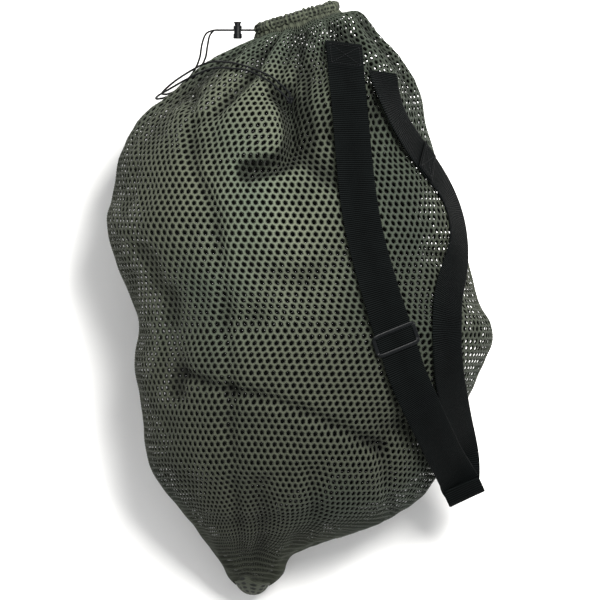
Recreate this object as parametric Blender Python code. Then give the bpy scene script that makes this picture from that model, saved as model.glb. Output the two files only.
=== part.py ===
"""A filled mesh laundry bag lying on its back, with its drawcord, cord lock and shoulder strap.

Metres. +X is the bag's right hand side as seen from the front, +Y points to the mouth and +Z is up,
away from the floor it lies on. The origin is on the floor under the middle of the bag.
"""

import math

import bmesh
import bpy
import numpy as np
from mathutils import Vector
from mathutils.bvhtree import BVHTree

# Bag
BAG_WIDTH = 0.4976          # across the widest points of the outline
BAG_LENGTH = 0.7630         # from the mouth's rim to the bottom corner
BAG_DEPTH = 0.330           # from the floor to the front at the fullest station
MESH_THICKNESS = 0.003      # knit mesh, taken as a solid skin
SEAM_WIDTH = 0.008
SEAM_THICKNESS = 0.005
FLAT_SHARE = 1.16           # how far the round back would reach below the floor that flattens it
WIDEST_SHARE = 0.46         # how far up a section its widest points are
CORNER_SIDES = 20           # faces round the bottom corner
CORNER_RINGS = ((0.0, 1.0), (0.35, 0.93), (0.7, 0.76), (1.0, 0.40))  # share of its length, and size
CORNER_DROP = 0.006
GAP = 0.0004                # clearance between touching pieces

# Hem casing and drawcord
CASING_RADIUS = 0.0080      # of the rolled hem
TUNNEL_RADIUS = 0.0034      # of the drawcord's way through the hem
CORD_RADIUS = 0.0013
CORD_SPACING = 2.0 * CORD_RADIUS + 0.0007  # between the two tails' centres inside the lock
CORD_END_LAP = 0.0001       # less than a radius is left between the loop in the hem and each tail
EXIT_OPENING = 16.0         # degrees left open in the hem where the cord comes out

# Cord lock. Heights are measured along it from the barrel's closed end.
PLUNGER_RADIUS = 0.0040
LOCK_BORE_RADIUS = PLUNGER_RADIUS + 0.0003
LOCK_RADIUS = LOCK_BORE_RADIUS + 0.0013
LOCK_LENGTH = 0.0165
LOCK_FLOOR = 0.0015
PLUNGER_CAP = 0.0022
PLUNGER_CAP_RADIUS = PLUNGER_RADIUS + 0.0010
PRESS_TRAVEL = 0.0030
CORD_SLOT_FOOT = 0.0064     # lower edge of the cord's way through the barrel
CORD_SLOT_HEIGHT = PRESS_TRAVEL + 2.0 * CORD_RADIUS + 0.0006
CORD_SLOT_WIDTH = CORD_SPACING + 2.0 * CORD_RADIUS + 0.0005
PLUNGER_FOOT_WALL = 0.0022  # of the plunger below its own slot
SPRING_WIRE = 0.0004
SPRING_RADIUS = 0.0030
SPRING_TURNS = 3.0
LOCK_OFFSET = 0.0250        # from the middle of the hem to the lock's axis
LOCK_TRAVEL = 0.0200        # away from the mouth
LOCK_RUN = LOCK_OFFSET + LOCK_TRAVEL + 0.0080  # where the tails' straight stretch ends

# Shoulder strap
WEB_WIDTH = 0.050
WEB_THICKNESS = 0.0016
WEB_CLEARANCE = 0.0040      # between the webbing and the bag below it
EDGE_CLEARANCE = 0.0012     # between the rear run's edges and the bag, where it leans
CLEARING_ROUNDS = 5         # of moving the rear run out until its edges clear
ANCHOR_LENGTH = 0.036       # of webbing sewn down at the top
PATCH_LENGTH = 0.030
PATCH_THICKNESS = 0.0018
TURN_RADIUS = 0.011         # of the loop's bottom bend
THREAD = 0.0007
LAYER_GAP = 0.0010          # between layers that follow the same curve

# Three-bar slider
SLIDER_SIDE = 0.0044
SLIDER_OUTER_WIDTH = WEB_WIDTH + 2.0 * (SLIDER_SIDE + 0.0006)
SLIDER_LENGTH = 0.031
SLIDER_BAR = 0.0052
SLIDER_THICKNESS = 0.0024
SLIDER_TRAVEL = 0.024       # each way along the webbing
SLIDER_CLEARANCE = 0.0004

# Plan outline: pairs of opposite points, each (x share of half width, y share of half length) on the
# left and on the right, then the lowest and highest point of that section as shares of the depth.
STATIONS = (
    (-0.215, 0.880, 0.190, 0.960, 0.40, 0.66),
    (-0.330, 0.850, 0.320, 0.968, 0.29, 0.71),
    (-0.487, 0.800, 0.440, 0.880, 0.16, 0.78),
    (-0.641, 0.715, 0.560, 0.785, 0.06, 0.85),
    (-0.821, 0.607, 0.640, 0.671, 0.00, 0.91),
    (-0.918, 0.503, 0.680, 0.520, 0.00, 0.95),
    (-0.950, 0.362, 0.760, 0.369, 0.00, 0.975),
    (-0.995, 0.260, 0.835, 0.242, 0.00, 0.99),
    (-0.938, 0.128, 0.862, 0.128, 0.00, 1.00),
    (-0.867, 0.000, 0.920, 0.000, 0.00, 1.00),
    (-0.831, -0.117, 0.995, -0.107, 0.00, 0.985),
    (-0.846, -0.228, 0.923, -0.242, 0.00, 0.965),
    (-0.805, -0.403, 0.810, -0.419, 0.00, 0.91),
    (-0.764, -0.554, 0.718, -0.570, 0.00, 0.84),
    (-0.656, -0.671, 0.560, -0.698, 0.00, 0.73),
    (-0.538, -0.772, 0.256, -0.790, 0.00, 0.57),
    (-0.451, -0.859, -0.041, -0.862, 0.00, 0.41),
    (-0.390, -0.925, -0.100, -0.928, 0.00, 0.32),
    (-0.335, -0.965, -0.165, -0.965, 0.02, 0.24),
)
STATION_SAMPLES = 2         # rings of faces between two stations
AROUND = 20                 # faces round half of the bag

# Webbing, plan shares like the outline's. The front run starts at the anchor's lower edge.
ANCHOR_TOP = (0.215, 0.848)
ANCHOR_FOOT = (0.228, 0.752)
FRONT_ROUTE = ((0.245, 0.640), (0.262, 0.500), (0.290, 0.330), (0.330, 0.190))
SLIDER_PLACE = (0.474, -0.126)
SLIDER_HEADING = (0.309, -0.951)
SLIDER_MARGIN = 0.0025      # of straight webbing beyond the slider's farthest reach
STRAIGHT_SHARES = (-0.66, -0.5, 0.5, 0.62)  # places along the straight stretch, from its middle
FRONT_FALL = ((0.641, -0.386, 0.8242), (0.750, -0.530, 0.6242))  # with a share of the depth
FALL_FACE = (0.20, 0.10, 1.0)
TURN_PLACE = (0.842, -0.640, 0.4545)
TURN_HEADING = (0.42, -0.9075)
TURN_LEADS = (0.014, 0.007)  # straight webbing on both sides of the bottom turn
TURN_INNER = 0.025          # from the turn's place to the webbing's edge beside the bag
REAR_RISE = (0.842, -0.500, 0.4424)
RISE_FACE = (0.8, 0.0, 1.0)
REAR_ROUTE = (              # with the least that each place leans outwards, in degrees
    (0.780, -0.345, 0), (0.745, -0.240, 0), (0.735, -0.100, 0), (0.745, 0.030, 0),
    (0.790, 0.125, 0), (0.800, 0.210, 0), (0.770, 0.310, 30), (0.700, 0.400, 48),
    (0.613, 0.468, 60), (0.535, 0.535, 64), (0.472, 0.605, 62), (0.430, 0.678, 56),
    (0.406, 0.752, 50),
)
TILT_LIMIT = 66.0           # degrees from level that the rear run may lean outwards
PATCH_SHARE = 0.77          # how far up the rear run the join patch sits

# Drawcord tails, metres: (x, y, z) of each strand from the hem to the knot
STRAND_A = (
    (-0.1150, 0.3385, 0.1690), (-0.1185, 0.3255, 0.1460), (-0.1215, 0.3110, 0.1160),
    (-0.1290, 0.2980, 0.0930), (-0.1400, 0.2850, 0.0830), (-0.1530, 0.2735, 0.0850),
    (-0.1670, 0.2660, 0.1000), (-0.1760, 0.2640, 0.1350), (-0.1735, 0.2680, 0.1680),
    (-0.1585, 0.2800, 0.1850), (-0.1400, 0.2915, 0.1960), (-0.1230, 0.3000, 0.2080),
    (-0.1080, 0.3030, 0.2220), (-0.0870, 0.3010, 0.2440), (-0.0640, 0.2944, 0.2650),
    (-0.0384, 0.2830, 0.2825), (-0.0240, 0.2715, 0.2925), (-0.0140, 0.2615, 0.3005),
)
STRAND_B = (
    (-0.1195, 0.3410, 0.1625), (-0.1255, 0.3285, 0.1380), (-0.1290, 0.3110, 0.1090),
    (-0.1360, 0.2960, 0.0850), (-0.1460, 0.2825, 0.0750), (-0.1580, 0.2700, 0.0780),
    (-0.1730, 0.2610, 0.0940), (-0.1840, 0.2580, 0.1320), (-0.1810, 0.2610, 0.1740),
    (-0.1660, 0.2690, 0.1960), (-0.1480, 0.2790, 0.2050), (-0.1280, 0.2885, 0.2160),
    (-0.1088, 0.2944, 0.2330), (-0.0870, 0.2935, 0.2515), (-0.0640, 0.2895, 0.2695),
    (-0.0410, 0.2775, 0.2860), (-0.0290, 0.2670, 0.2960), (-0.0200, 0.2580, 0.3020),
)
CORD_POINTS = 76
KNOT_PLACE = (-0.0125, 0.2520, 0.3045)
KNOT_RADIUS = 0.0052

COLORS = {
    "mesh": ((0.27, 0.31, 0.22), 0.75),
    "seam": ((0.33, 0.37, 0.28), 0.70),
    "cord": ((0.012, 0.013, 0.014), 0.60),
    "web": ((0.010, 0.011, 0.013), 0.55),
    "thread": ((0.02, 0.02, 0.022), 0.60),
    "plastic": ((0.008, 0.009, 0.010), 0.32),
    "steel": ((0.55, 0.55, 0.56), 0.30),
}


def clear_scene():
    """Remove every object, so that the model is alone."""
    for item in list(bpy.data.objects):
        bpy.data.objects.remove(item, do_unlink=True)


def make_material(name, finish):
    """Return a Principled material for one node with the finish's colour and roughness."""
    color, roughness = COLORS[finish]
    material = bpy.data.materials.new(name)
    material.use_nodes = True
    shader = material.node_tree.nodes["Principled BSDF"]
    shader.inputs["Base Color"].default_value = (*color, 1.0)
    shader.inputs["Roughness"].default_value = roughness
    shader.inputs["Metallic"].default_value = 1.0 if finish == "steel" else 0.0
    material.diffuse_color = (*color, 1.0)
    return material


def add_empty(name, place, parent=None):
    """Add an empty that carries a moving group, with its origin on the joint's axis."""
    empty = bpy.data.objects.new(name, None)
    bpy.context.collection.objects.link(empty)
    empty.location = place
    if parent is not None:
        empty.parent = parent
        empty.location = Vector(place) - parent.location
    return empty


def origin_of(item):
    """Return where an empty stands in the world, through its parents."""
    place = Vector((0.0, 0.0, 0.0))
    while item is not None:
        place += item.location
        item = item.parent
    return place


def add_mesh(name, points, faces, finish, parent=None, smooth=True):
    """Add a closed mesh given in world metres, hung on parent if it has one."""
    origin = origin_of(parent)
    mesh = bpy.data.meshes.new(name)
    mesh.from_pydata([tuple(Vector(p) - origin) for p in points], [], faces)
    work = bmesh.new()
    work.from_mesh(mesh)
    bmesh.ops.recalc_face_normals(work, faces=work.faces)
    if work.calc_volume(signed=True) < 0.0:
        bmesh.ops.reverse_faces(work, faces=work.faces)
    work.to_mesh(mesh)
    work.free()
    mesh.validate()
    if smooth:
        mesh.shade_smooth()
        mesh.set_sharp_from_angle(angle=math.radians(40.0))
    item = bpy.data.objects.new(name, mesh)
    bpy.context.collection.objects.link(item)
    item.data.materials.append(make_material(name, finish))
    item.parent = parent
    return item


def make_cutter(item):
    """Keep an object as a Boolean's operand only."""
    item.hide_render = True
    item.display_type = "WIRE"
    return item


def combine(item, other, operation):
    """Cut other out of item, or join it on, with an exact Boolean."""
    modifier = item.modifiers.new(operation.title(), "BOOLEAN")
    modifier.operation = operation
    modifier.solver = "EXACT"
    modifier.object = make_cutter(other)


def smooth_path(points, samples):
    """Return samples points per stretch of the Catmull-Rom curve through points."""
    knots = np.asarray(points, dtype=float)
    before = 2.0 * knots[0] - knots[1]
    after = 2.0 * knots[-1] - knots[-2]
    knots = np.vstack((before, knots, after))
    share = np.linspace(0.0, 1.0, samples, endpoint=False)[:, None]
    rows = []
    for a, b, c, d in zip(knots, knots[1:], knots[2:], knots[3:]):
        rows.append(0.5 * (2.0 * b + (c - a) * share + (2.0 * a - 5.0 * b + 4.0 * c - d) * share**2
                           + (3.0 * b - a - 3.0 * c + d) * share**3))
    rows.append(knots[-2][None, :])
    return np.vstack(rows)


def resample(path, count):
    """Return count points spread evenly along a polyline."""
    steps = np.linalg.norm(np.diff(path, axis=0), axis=1)
    along = np.concatenate(([0.0], np.cumsum(steps)))
    wanted = np.linspace(0.0, along[-1], count)
    return np.column_stack([np.interp(wanted, along, path[:, k]) for k in range(path.shape[1])])


def unit(vectors):
    """Return vectors scaled to length one."""
    vectors = np.asarray(vectors, dtype=float)
    return vectors / np.linalg.norm(vectors, axis=-1, keepdims=True)


# Bag -----------------------------------------------------------------------------------------------


def plan(shares):
    """Turn plan shares into metres."""
    return np.array((shares[0] * BAG_WIDTH / 2.0, shares[1] * BAG_LENGTH / 2.0))


def place_over(shares):
    """Turn plan shares and a share of the depth into a point in metres."""
    spot = plan(shares[:2])
    return np.array((spot[0], spot[1], shares[2] * BAG_DEPTH))


def bag_stations():
    """Return the smoothed stations in metres, one row (left xy, right xy, low z, high z) each."""
    half = np.array((BAG_WIDTH / 2.0, BAG_LENGTH / 2.0))
    table = np.asarray(STATIONS, dtype=float)
    metres = np.hstack((table[:, 0:2] * half, table[:, 2:4] * half, table[:, 4:6] * BAG_DEPTH))
    rows = smooth_path(metres, STATION_SAMPLES)
    rows[:, 4] = np.clip(rows[:, 4], 0.0, None)
    return rows


def ring_points(row, angles):
    """Return points round one station's section at the given angles, 0 at its right end."""
    middle = (row[0:2] + row[2:4]) / 2.0
    half = (row[2:4] - row[0:2]) / 2.0
    low, high = row[4], row[5]
    center = low + WIDEST_SHARE * (high - low)
    flat = 1.0 + (FLAT_SHARE - 1.0) * np.clip(1.0 - low / (0.06 * BAG_DEPTH), 0.0, 1.0)
    sine = np.sin(angles)
    reach = np.where(sine > 0.0, high - center, (center - low) * flat)
    height = np.maximum(center + reach * sine, low)
    cosine = np.cos(angles)
    return np.column_stack((middle[0] + half[0] * cosine, middle[1] + half[1] * cosine, height))


def grid_points(rows, angle_rows):
    """Return the bag's outer surface at one row of angles for each station."""
    return np.array([ring_points(row, angles) for row, angles in zip(rows, angle_rows)])


def grid_normals(rows, angle_rows):
    """Return the outward unit normals at the same places, from small differences."""
    step = 0.02
    ahead = grid_points(rows, angle_rows + step) - grid_points(rows, angle_rows - step)
    points = grid_points(rows, angle_rows)
    along = np.gradient(points, axis=0)
    return unit(np.cross(ahead, along))


def skin_faces(count_along, count_around):
    """Return the faces of a closed slab whose outer grid comes before its inner grid."""
    inner = count_along * count_around
    faces = []
    for i in range(count_along - 1):
        for j in range(count_around - 1):
            a = i * count_around + j
            b = a + 1
            c = b + count_around
            d = a + count_around
            faces.append((a, b, c, d))
            faces.append((a + inner, d + inner, c + inner, b + inner))
    for i in range(count_along - 1):
        for j in (0, count_around - 1):
            a = i * count_around + j
            d = a + count_around
            faces.append((a, d, d + inner, a + inner))
    for j in range(count_around - 1):
        for i in (0, count_along - 1):
            a = i * count_around + j
            b = a + 1
            faces.append((a, b, b + inner, a + inner))
    return faces


def add_skin(name, rows, starts, ends, faces_around, outside, inside, finish):
    """Add the slab of the bag's skin between two angles of each station."""
    share = np.linspace(0.0, 1.0, faces_around + 1)
    angle_rows = starts[:, None] + (ends - starts)[:, None] * share
    points = grid_points(rows, angle_rows)
    normals = grid_normals(rows, angle_rows)
    outer = points + outside * normals
    inner = points + inside * normals
    outer[:, :, 2] = np.maximum(outer[:, :, 2], 0.0)
    cloud = np.concatenate((outer.reshape(-1, 3), inner.reshape(-1, 3)))
    return add_mesh(name, cloud, skin_faces(*points.shape[:2]), finish)


def build_bag(rows):
    """Add the front and back panels, with a seam along each side between them."""
    up_rate = (rows[:, 5] - rows[:, 4]) * (1.0 - WIDEST_SHARE)
    down_rate = (rows[:, 5] - rows[:, 4]) * WIDEST_SHARE
    seam_up = (SEAM_WIDTH / 2.0) / up_rate
    seam_down = (SEAM_WIDTH / 2.0) / down_rate
    edge_up = (SEAM_WIDTH / 2.0 + GAP) / up_rate
    edge_down = (SEAM_WIDTH / 2.0 + GAP) / down_rate
    add_skin("mesh_front_panel", rows, edge_up, math.pi - edge_up, AROUND, 0.0, -MESH_THICKNESS, "mesh")
    back_start = math.pi + edge_down
    back_end = 2.0 * math.pi - edge_down
    add_skin("mesh_back_panel", rows, back_start, back_end, AROUND, 0.0, -MESH_THICKNESS, "mesh")
    seam_in = (SEAM_THICKNESS + MESH_THICKNESS) / 2.0
    seam_out = SEAM_THICKNESS - seam_in
    add_skin("side_seam_right", rows, -seam_down, seam_up, 2, seam_out, -seam_in, "seam")
    add_skin("side_seam_left", rows, math.pi - seam_up, math.pi + seam_down, 2, seam_out, -seam_in, "seam")


def build_bottom_corner(rows):
    """Add the drawn-in corner of the bottom seam, which closes the narrow end of the skin."""
    sides = CORNER_SIDES
    angles = np.linspace(0.0, 2.0 * math.pi, sides, endpoint=False)
    end = rows[-1]
    middle_y = (end[1] + end[3]) / 2.0
    tip_y = -BAG_LENGTH / 2.0
    points = []
    center = ring_points(end, angles).mean(axis=0)
    for along, size in CORNER_RINGS:
        ring = ring_points(end, angles)
        ring = center + (ring - center) * size
        ring[:, 1] += (middle_y - GAP + along * (tip_y - middle_y + GAP)) - center[1]
        ring[:, 2] -= along * CORNER_DROP
        points.append(ring)
    cloud = np.vstack(points)
    faces = tube_wall(len(CORNER_RINGS), sides, 0)
    faces.append(tuple(range(sides)))
    faces.append(tuple(range(len(cloud) - sides, len(cloud))))
    add_mesh("bottom_seam_corner", cloud, faces, "seam")


# Tubes and turned pieces -----------------------------------------------------------------------------


def sweep_frames(path, closed=False):
    """Return two unit vectors across a path at each point, carried along without twist."""
    if closed:
        tangents = unit(np.roll(path, -1, axis=0) - np.roll(path, 1, axis=0))
    else:
        tangents = unit(np.gradient(path, axis=0))
    guide = np.array((0.0, 0.0, 1.0)) if abs(tangents[0][2]) < 0.8 else np.array((0.0, 1.0, 0.0))
    sides = []
    for tangent in tangents:
        guide = guide - tangent * np.dot(guide, tangent)
        guide = guide / np.linalg.norm(guide)
        sides.append(guide)
    sides = np.array(sides)
    return sides, np.cross(tangents, sides)


def round_rings(path, radius, sides, closed=False):
    """Return a ring of points round each point of a path."""
    first, second = sweep_frames(path, closed)
    angles = np.linspace(0.0, 2.0 * math.pi, sides, endpoint=False)
    across = np.cos(angles)[None, :, None] * first[:, None, :]
    up = np.sin(angles)[None, :, None] * second[:, None, :]
    return path[:, None, :] + radius * (across + up)


def tube_wall(count, sides, shift, closed=False):
    """Return the faces of a tube's wall, and its points start at shift."""
    faces = []
    last = count if closed else count - 1
    for i in range(last):
        for j in range(sides):
            a = shift + i * sides + j
            b = shift + i * sides + (j + 1) % sides
            c = shift + ((i + 1) % count) * sides + (j + 1) % sides
            d = shift + ((i + 1) % count) * sides + j
            faces.append((a, b, c, d))
    return faces


def add_rod(name, path, radius, sides, finish, parent=None, closed=False):
    """Add a round rod along a path, with flat ends unless it closes on itself."""
    points = round_rings(path, radius, sides, closed).reshape(-1, 3)
    faces = tube_wall(len(path), sides, 0, closed)
    if not closed:
        faces.append(tuple(range(sides)))
        faces.append(tuple(range(len(points) - sides, len(points))))
    return add_mesh(name, points, faces, finish, parent)


def add_pipe(name, path, radius, bore, sides, finish):
    """Add a pipe along a path, open at both ends."""
    outer = round_rings(path, radius, sides).reshape(-1, 3)
    inner = round_rings(path, bore, sides).reshape(-1, 3)
    total = len(outer)
    faces = tube_wall(len(path), sides, 0) + tube_wall(len(path), sides, total)
    for start in (0, total - sides):
        for j in range(sides):
            a = start + j
            b = start + (j + 1) % sides
            faces.append((a, b, b + total, a + total))
    return add_mesh(name, np.vstack((outer, inner)), faces, finish)


def add_turned(name, profile, base, finish, parent=None, sides=28):
    """Add a piece turned round the Y direction from base; profile is (radius, height) pairs."""
    points = []
    rings = []
    for radius, height in profile:
        if radius == 0.0:
            rings.append([len(points)])
            points.append((base[0], base[1] + height, base[2]))
            continue
        rings.append(list(range(len(points), len(points) + sides)))
        for j in range(sides):
            angle = 2.0 * math.pi * j / sides
            points.append((base[0] + radius * math.cos(angle), base[1] + height,
                           base[2] + radius * math.sin(angle)))
    faces = []
    for low, high in zip(rings, rings[1:]):
        for j in range(sides):
            k = (j + 1) % sides
            quad = [low[j % len(low)], low[k % len(low)], high[k % len(high)], high[j % len(high)]]
            faces.append(tuple(dict.fromkeys(quad)))
    return add_mesh(name, points, faces, finish, parent)


def add_box(name, center, size, axes, finish, parent=None):
    """Add a box whose sides lie along the three given unit vectors."""
    corners = [(x, y, z) for x in (-0.5, 0.5) for y in (-0.5, 0.5) for z in (-0.5, 0.5)]
    points = [np.asarray(center) + sum(c * s * a for c, s, a in zip(corner, size, np.asarray(axes)))
              for corner in corners]
    faces = [(0, 1, 3, 2), (4, 6, 7, 5), (0, 4, 5, 1), (2, 3, 7, 6), (0, 2, 6, 4), (1, 5, 7, 3)]
    return add_mesh(name, points, faces, finish, parent, smooth=False)


# Hem, drawcord and cord lock -------------------------------------------------------------------------


def hem_frame(rows):
    """Return the hem's exit point and the direction out of the mouth."""
    half = (rows[0][2:4] - rows[0][0:2]) / 2.0
    outward = unit(np.array((-half[1], half[0], 0.0)))
    seam_proud = (SEAM_THICKNESS - MESH_THICKNESS) / 2.0
    shift = outward * (CASING_RADIUS + seam_proud + GAP)
    exit_point = ring_points(rows[0], np.array([math.pi]))[0] + shift
    exit_point[0] += MESH_THICKNESS / 2.0
    return exit_point, shift


def build_hem(rows):
    """Add the hem's tunnel round the mouth and the drawcord's loop inside it."""
    exit_point, shift = hem_frame(rows)
    opening = math.radians(EXIT_OPENING / 2.0)
    angles = np.linspace(-math.pi + opening, math.pi - opening, 33)
    path = ring_points(rows[0], angles)
    middle = path.mean(axis=0)
    path = middle + (path - middle) * 0.98 + shift
    add_pipe("hem_casing", path, CASING_RADIUS, TUNNEL_RADIUS, 12, "seam")
    add_rod("drawcord_in_hem", path, CORD_RADIUS, 8, "cord")
    return path[0], path[-1]


def add_cord(name, path):
    """Add a free cord as a bevelled curve of straight steps with filled ends."""
    curve = bpy.data.curves.new(name, "CURVE")
    curve.dimensions = "3D"
    curve.bevel_depth = CORD_RADIUS
    curve.bevel_resolution = 2
    curve.render_resolution_u = 0
    curve.use_fill_caps = True
    spline = curve.splines.new("POLY")
    spline.points.add(len(path) - 1)
    for point, place in zip(spline.points, path):
        point.co = (*place, 1.0)
    item = bpy.data.objects.new(name, curve)
    bpy.context.collection.objects.link(item)
    item.data.materials.append(make_material(name, "cord"))
    return item


def strand_path(loop_end, exit_point, side, route):
    """Return one tail's path: out of the hem, straight through the lock, then its free route."""
    offset = side * CORD_SPACING / 2.0
    turn = np.sign(loop_end[2] - exit_point[2])
    start = loop_end + np.array((0.0, 0.0, -turn * (CORD_RADIUS - CORD_END_LAP)))
    lead = (
        start,
        exit_point + np.array((-0.0008, 0.0, turn * 0.0038)),
        exit_point + np.array((-0.0045, 0.0, offset * 1.45)),
        exit_point + np.array((-0.0085, 0.0, offset * 1.08)),
    )
    run = [exit_point + np.array((-x, 0.0, offset)) for x in np.linspace(0.0120, LOCK_RUN, 6)]
    knot = np.array(KNOT_PLACE)
    end = knot + unit(np.array(route[-1]) - knot) * (KNOT_RADIUS + GAP)
    path = smooth_path(np.vstack((lead, run, route, end)), 12)
    return resample(path, CORD_POINTS)


def build_tails(rows, low_end, high_end):
    """Add the two tails and the knot that joins their ends."""
    exit_point, _ = hem_frame(rows)
    add_cord("drawcord_tail_first", strand_path(high_end, exit_point, 1.0, STRAND_A))
    add_cord("drawcord_tail_second", strand_path(low_end, exit_point, -1.0, STRAND_B))
    knot = [(0.0, -KNOT_RADIUS)]
    for step in range(1, 8):
        angle = -math.pi / 2.0 + math.pi * step / 8.0
        knot.append((KNOT_RADIUS * math.cos(angle), KNOT_RADIUS * math.sin(angle)))
    knot.append((0.0, KNOT_RADIUS))
    add_turned("drawcord_end_knot", knot, KNOT_PLACE, "cord", sides=16)


def build_lock(rows):
    """Add the cord lock, whose barrel slides on the tails and whose plunger presses into it."""
    exit_point, _ = hem_frame(rows)
    axis_x = exit_point[0] - LOCK_OFFSET
    cord_height = CORD_SLOT_FOOT + (PRESS_TRAVEL + CORD_SLOT_HEIGHT) / 2.0
    foot = np.array((axis_x, exit_point[1] - cord_height, exit_point[2]))
    carrier = add_empty("cord_lock", tuple(foot))
    barrel = [
        (0.0, 0.0), (LOCK_RADIUS - 0.0008, 0.0), (LOCK_RADIUS, 0.0008), (LOCK_RADIUS, LOCK_LENGTH - 0.0006),
        (LOCK_RADIUS - 0.0006, LOCK_LENGTH), (LOCK_BORE_RADIUS, LOCK_LENGTH),
        (LOCK_BORE_RADIUS, LOCK_FLOOR), (0.0, LOCK_FLOOR),
    ]
    body = add_turned("cord_lock_barrel", barrel, foot, "plastic", carrier)
    level = (1.0, 0.0, 0.0), (0.0, 1.0, 0.0), (0.0, 0.0, 1.0)
    slot_middle = foot + np.array((0.0, CORD_SLOT_FOOT + CORD_SLOT_HEIGHT / 2.0, 0.0))
    slot_size = (4.0 * LOCK_RADIUS, CORD_SLOT_HEIGHT, CORD_SLOT_WIDTH)
    combine(body, add_box("barrel_slot_cutter", slot_middle, slot_size, level, "plastic"), "DIFFERENCE")
    button = add_empty("cord_lock_button", tuple(foot), carrier)
    shaft_foot = CORD_SLOT_FOOT + PRESS_TRAVEL - PLUNGER_FOOT_WALL
    cap_foot = LOCK_LENGTH + PRESS_TRAVEL + 0.0002
    cap_top = cap_foot + PLUNGER_CAP
    plunger = [
        (0.0, shaft_foot), (PLUNGER_RADIUS, shaft_foot), (PLUNGER_RADIUS, cap_foot),
        (PLUNGER_CAP_RADIUS, cap_foot), (PLUNGER_CAP_RADIUS, cap_top - 0.0008),
        (PLUNGER_CAP_RADIUS - 0.0010, cap_top), (0.0, cap_top),
    ]
    rod = add_turned("cord_lock_plunger", plunger, foot, "plastic", button)
    rod_slot = slot_middle + np.array((0.0, PRESS_TRAVEL, 0.0))
    combine(rod, add_box("plunger_slot_cutter", rod_slot, slot_size, level, "plastic"), "DIFFERENCE")
    turns = np.linspace(0.0, 2.0 * math.pi * SPRING_TURNS, 61)
    low = LOCK_FLOOR + SPRING_WIRE + 0.0001
    high = shaft_foot - SPRING_WIRE - 0.0001
    rise = low + (high - low) * turns / turns[-1]
    coil = np.column_stack((SPRING_RADIUS * np.cos(turns), rise, SPRING_RADIUS * np.sin(turns))) + foot
    add_rod("cord_lock_spring", coil, SPRING_WIRE, 6, "steel", carrier)


# Strap -----------------------------------------------------------------------------------------------


class Ribbon:
    """A flat band along a path, with its own directions along, across and out of its face."""

    def __init__(self, path, faces):
        """Keep the path and a matching list of face directions."""
        self.path = np.asarray(path, dtype=float)
        self.along = unit(np.gradient(self.path, axis=0))
        faces = np.asarray(faces, dtype=float)
        level = faces - self.along * np.sum(faces * self.along, axis=1, keepdims=True)
        self.face = unit(level)
        self.across = np.cross(self.face, self.along)
        steps = np.linalg.norm(np.diff(self.path, axis=0), axis=1)
        self.distance = np.concatenate(([0.0], np.cumsum(steps)))
        self.length = self.distance[-1]

    def at(self, distance):
        """Return the place and the three directions at a distance along the band."""
        row = [np.interp(distance, self.distance, self.path[:, k]) for k in range(3)]
        found = []
        for table in (self.along, self.across, self.face):
            found.append(unit([np.interp(distance, self.distance, table[:, k]) for k in range(3)]))
        return np.array(row), found[0], found[1], found[2]

    def point(self, distance, sideways, out):
        """Return a point at a distance along, sideways and out of the band."""
        place, _, across, face = self.at(distance)
        return place + across * sideways + face * out


def add_band(name, ribbon, start, end, width, low, high, finish, parent=None, step=0.012):
    """Add the solid band between two distances and two heights over a ribbon."""
    count = max(2, int(round((end - start) / step)) + 1)
    half = width / 2.0
    points = []
    for distance in np.linspace(start, end, count):
        for sideways, out in ((-half, low), (half, low), (half, high), (-half, high)):
            points.append(ribbon.point(distance, sideways, out))
    faces = tube_wall(count, 4, 0)
    faces.append((0, 1, 2, 3))
    last = 4 * count - 4
    faces.append((last, last + 1, last + 2, last + 3))
    return add_mesh(name, points, faces, finish, parent, smooth=False)


def add_stitching(name, ribbon, start, end, width, height, parent=None):
    """Add a box of stitching as one closed thread over a ribbon."""
    half = width / 2.0
    corners = ((start, -half), (end, -half), (end, half), (start, half), (start, -half))
    places = []
    for (s0, w0), (s1, w1) in zip(corners, corners[1:]):
        count = max(2, int(math.hypot(s1 - s0, w1 - w0) / 0.006))
        for share in np.linspace(0.0, 1.0, count, endpoint=False):
            places.append(ribbon.point(s0 + (s1 - s0) * share, w0 + (w1 - w0) * share, height))
    return add_rod(name, np.array(places), THREAD / 2.0, 6, "thread", parent, closed=True)


def bag_tree(rows):
    """Return a tree of the bag's outer surface for dropping things on it."""
    angles = np.linspace(0.0, 2.0 * math.pi, 97)
    fine = grid_points(rows, np.tile(angles, (len(rows), 1)))
    along, around = fine.shape[:2]
    faces = []
    for i in range(along - 1):
        for j in range(around - 1):
            a = i * around + j
            faces.append((a, a + 1, a + 1 + around, a + around))
    return BVHTree.FromPolygons([Vector(p) for p in fine.reshape(-1, 3)], faces)


def drape(tree, place, lift, limit=90.0, least=0.0):
    """Return a point lift above the bag's surface under place, and the way that webbing there faces."""
    found, normal, _, _ = tree.ray_cast(Vector((place[0], place[1], 1.0)), Vector((0.0, 0.0, -1.0)))
    normal = np.array(normal) if normal.z > 0.0 else -np.array(normal)
    lean = math.degrees(math.acos(min(1.0, normal[2])))
    face = normal
    if not least <= lean <= limit:
        held = math.radians(min(max(lean, least), limit))
        level = unit(np.array((normal[0], normal[1], 0.0)))
        face = level * math.sin(held) + np.array((0.0, 0.0, math.cos(held)))
    return np.array(found) + normal * lift, face


def beside_bag(shares):
    """Return a place near the bottom turn, moved out so that the inner edge of the webbing stays put."""
    outward = np.array((-TURN_HEADING[1], TURN_HEADING[0], 0.0))
    return place_over(shares) + outward * (WEB_WIDTH / 2.0 - TURN_INNER)


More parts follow.
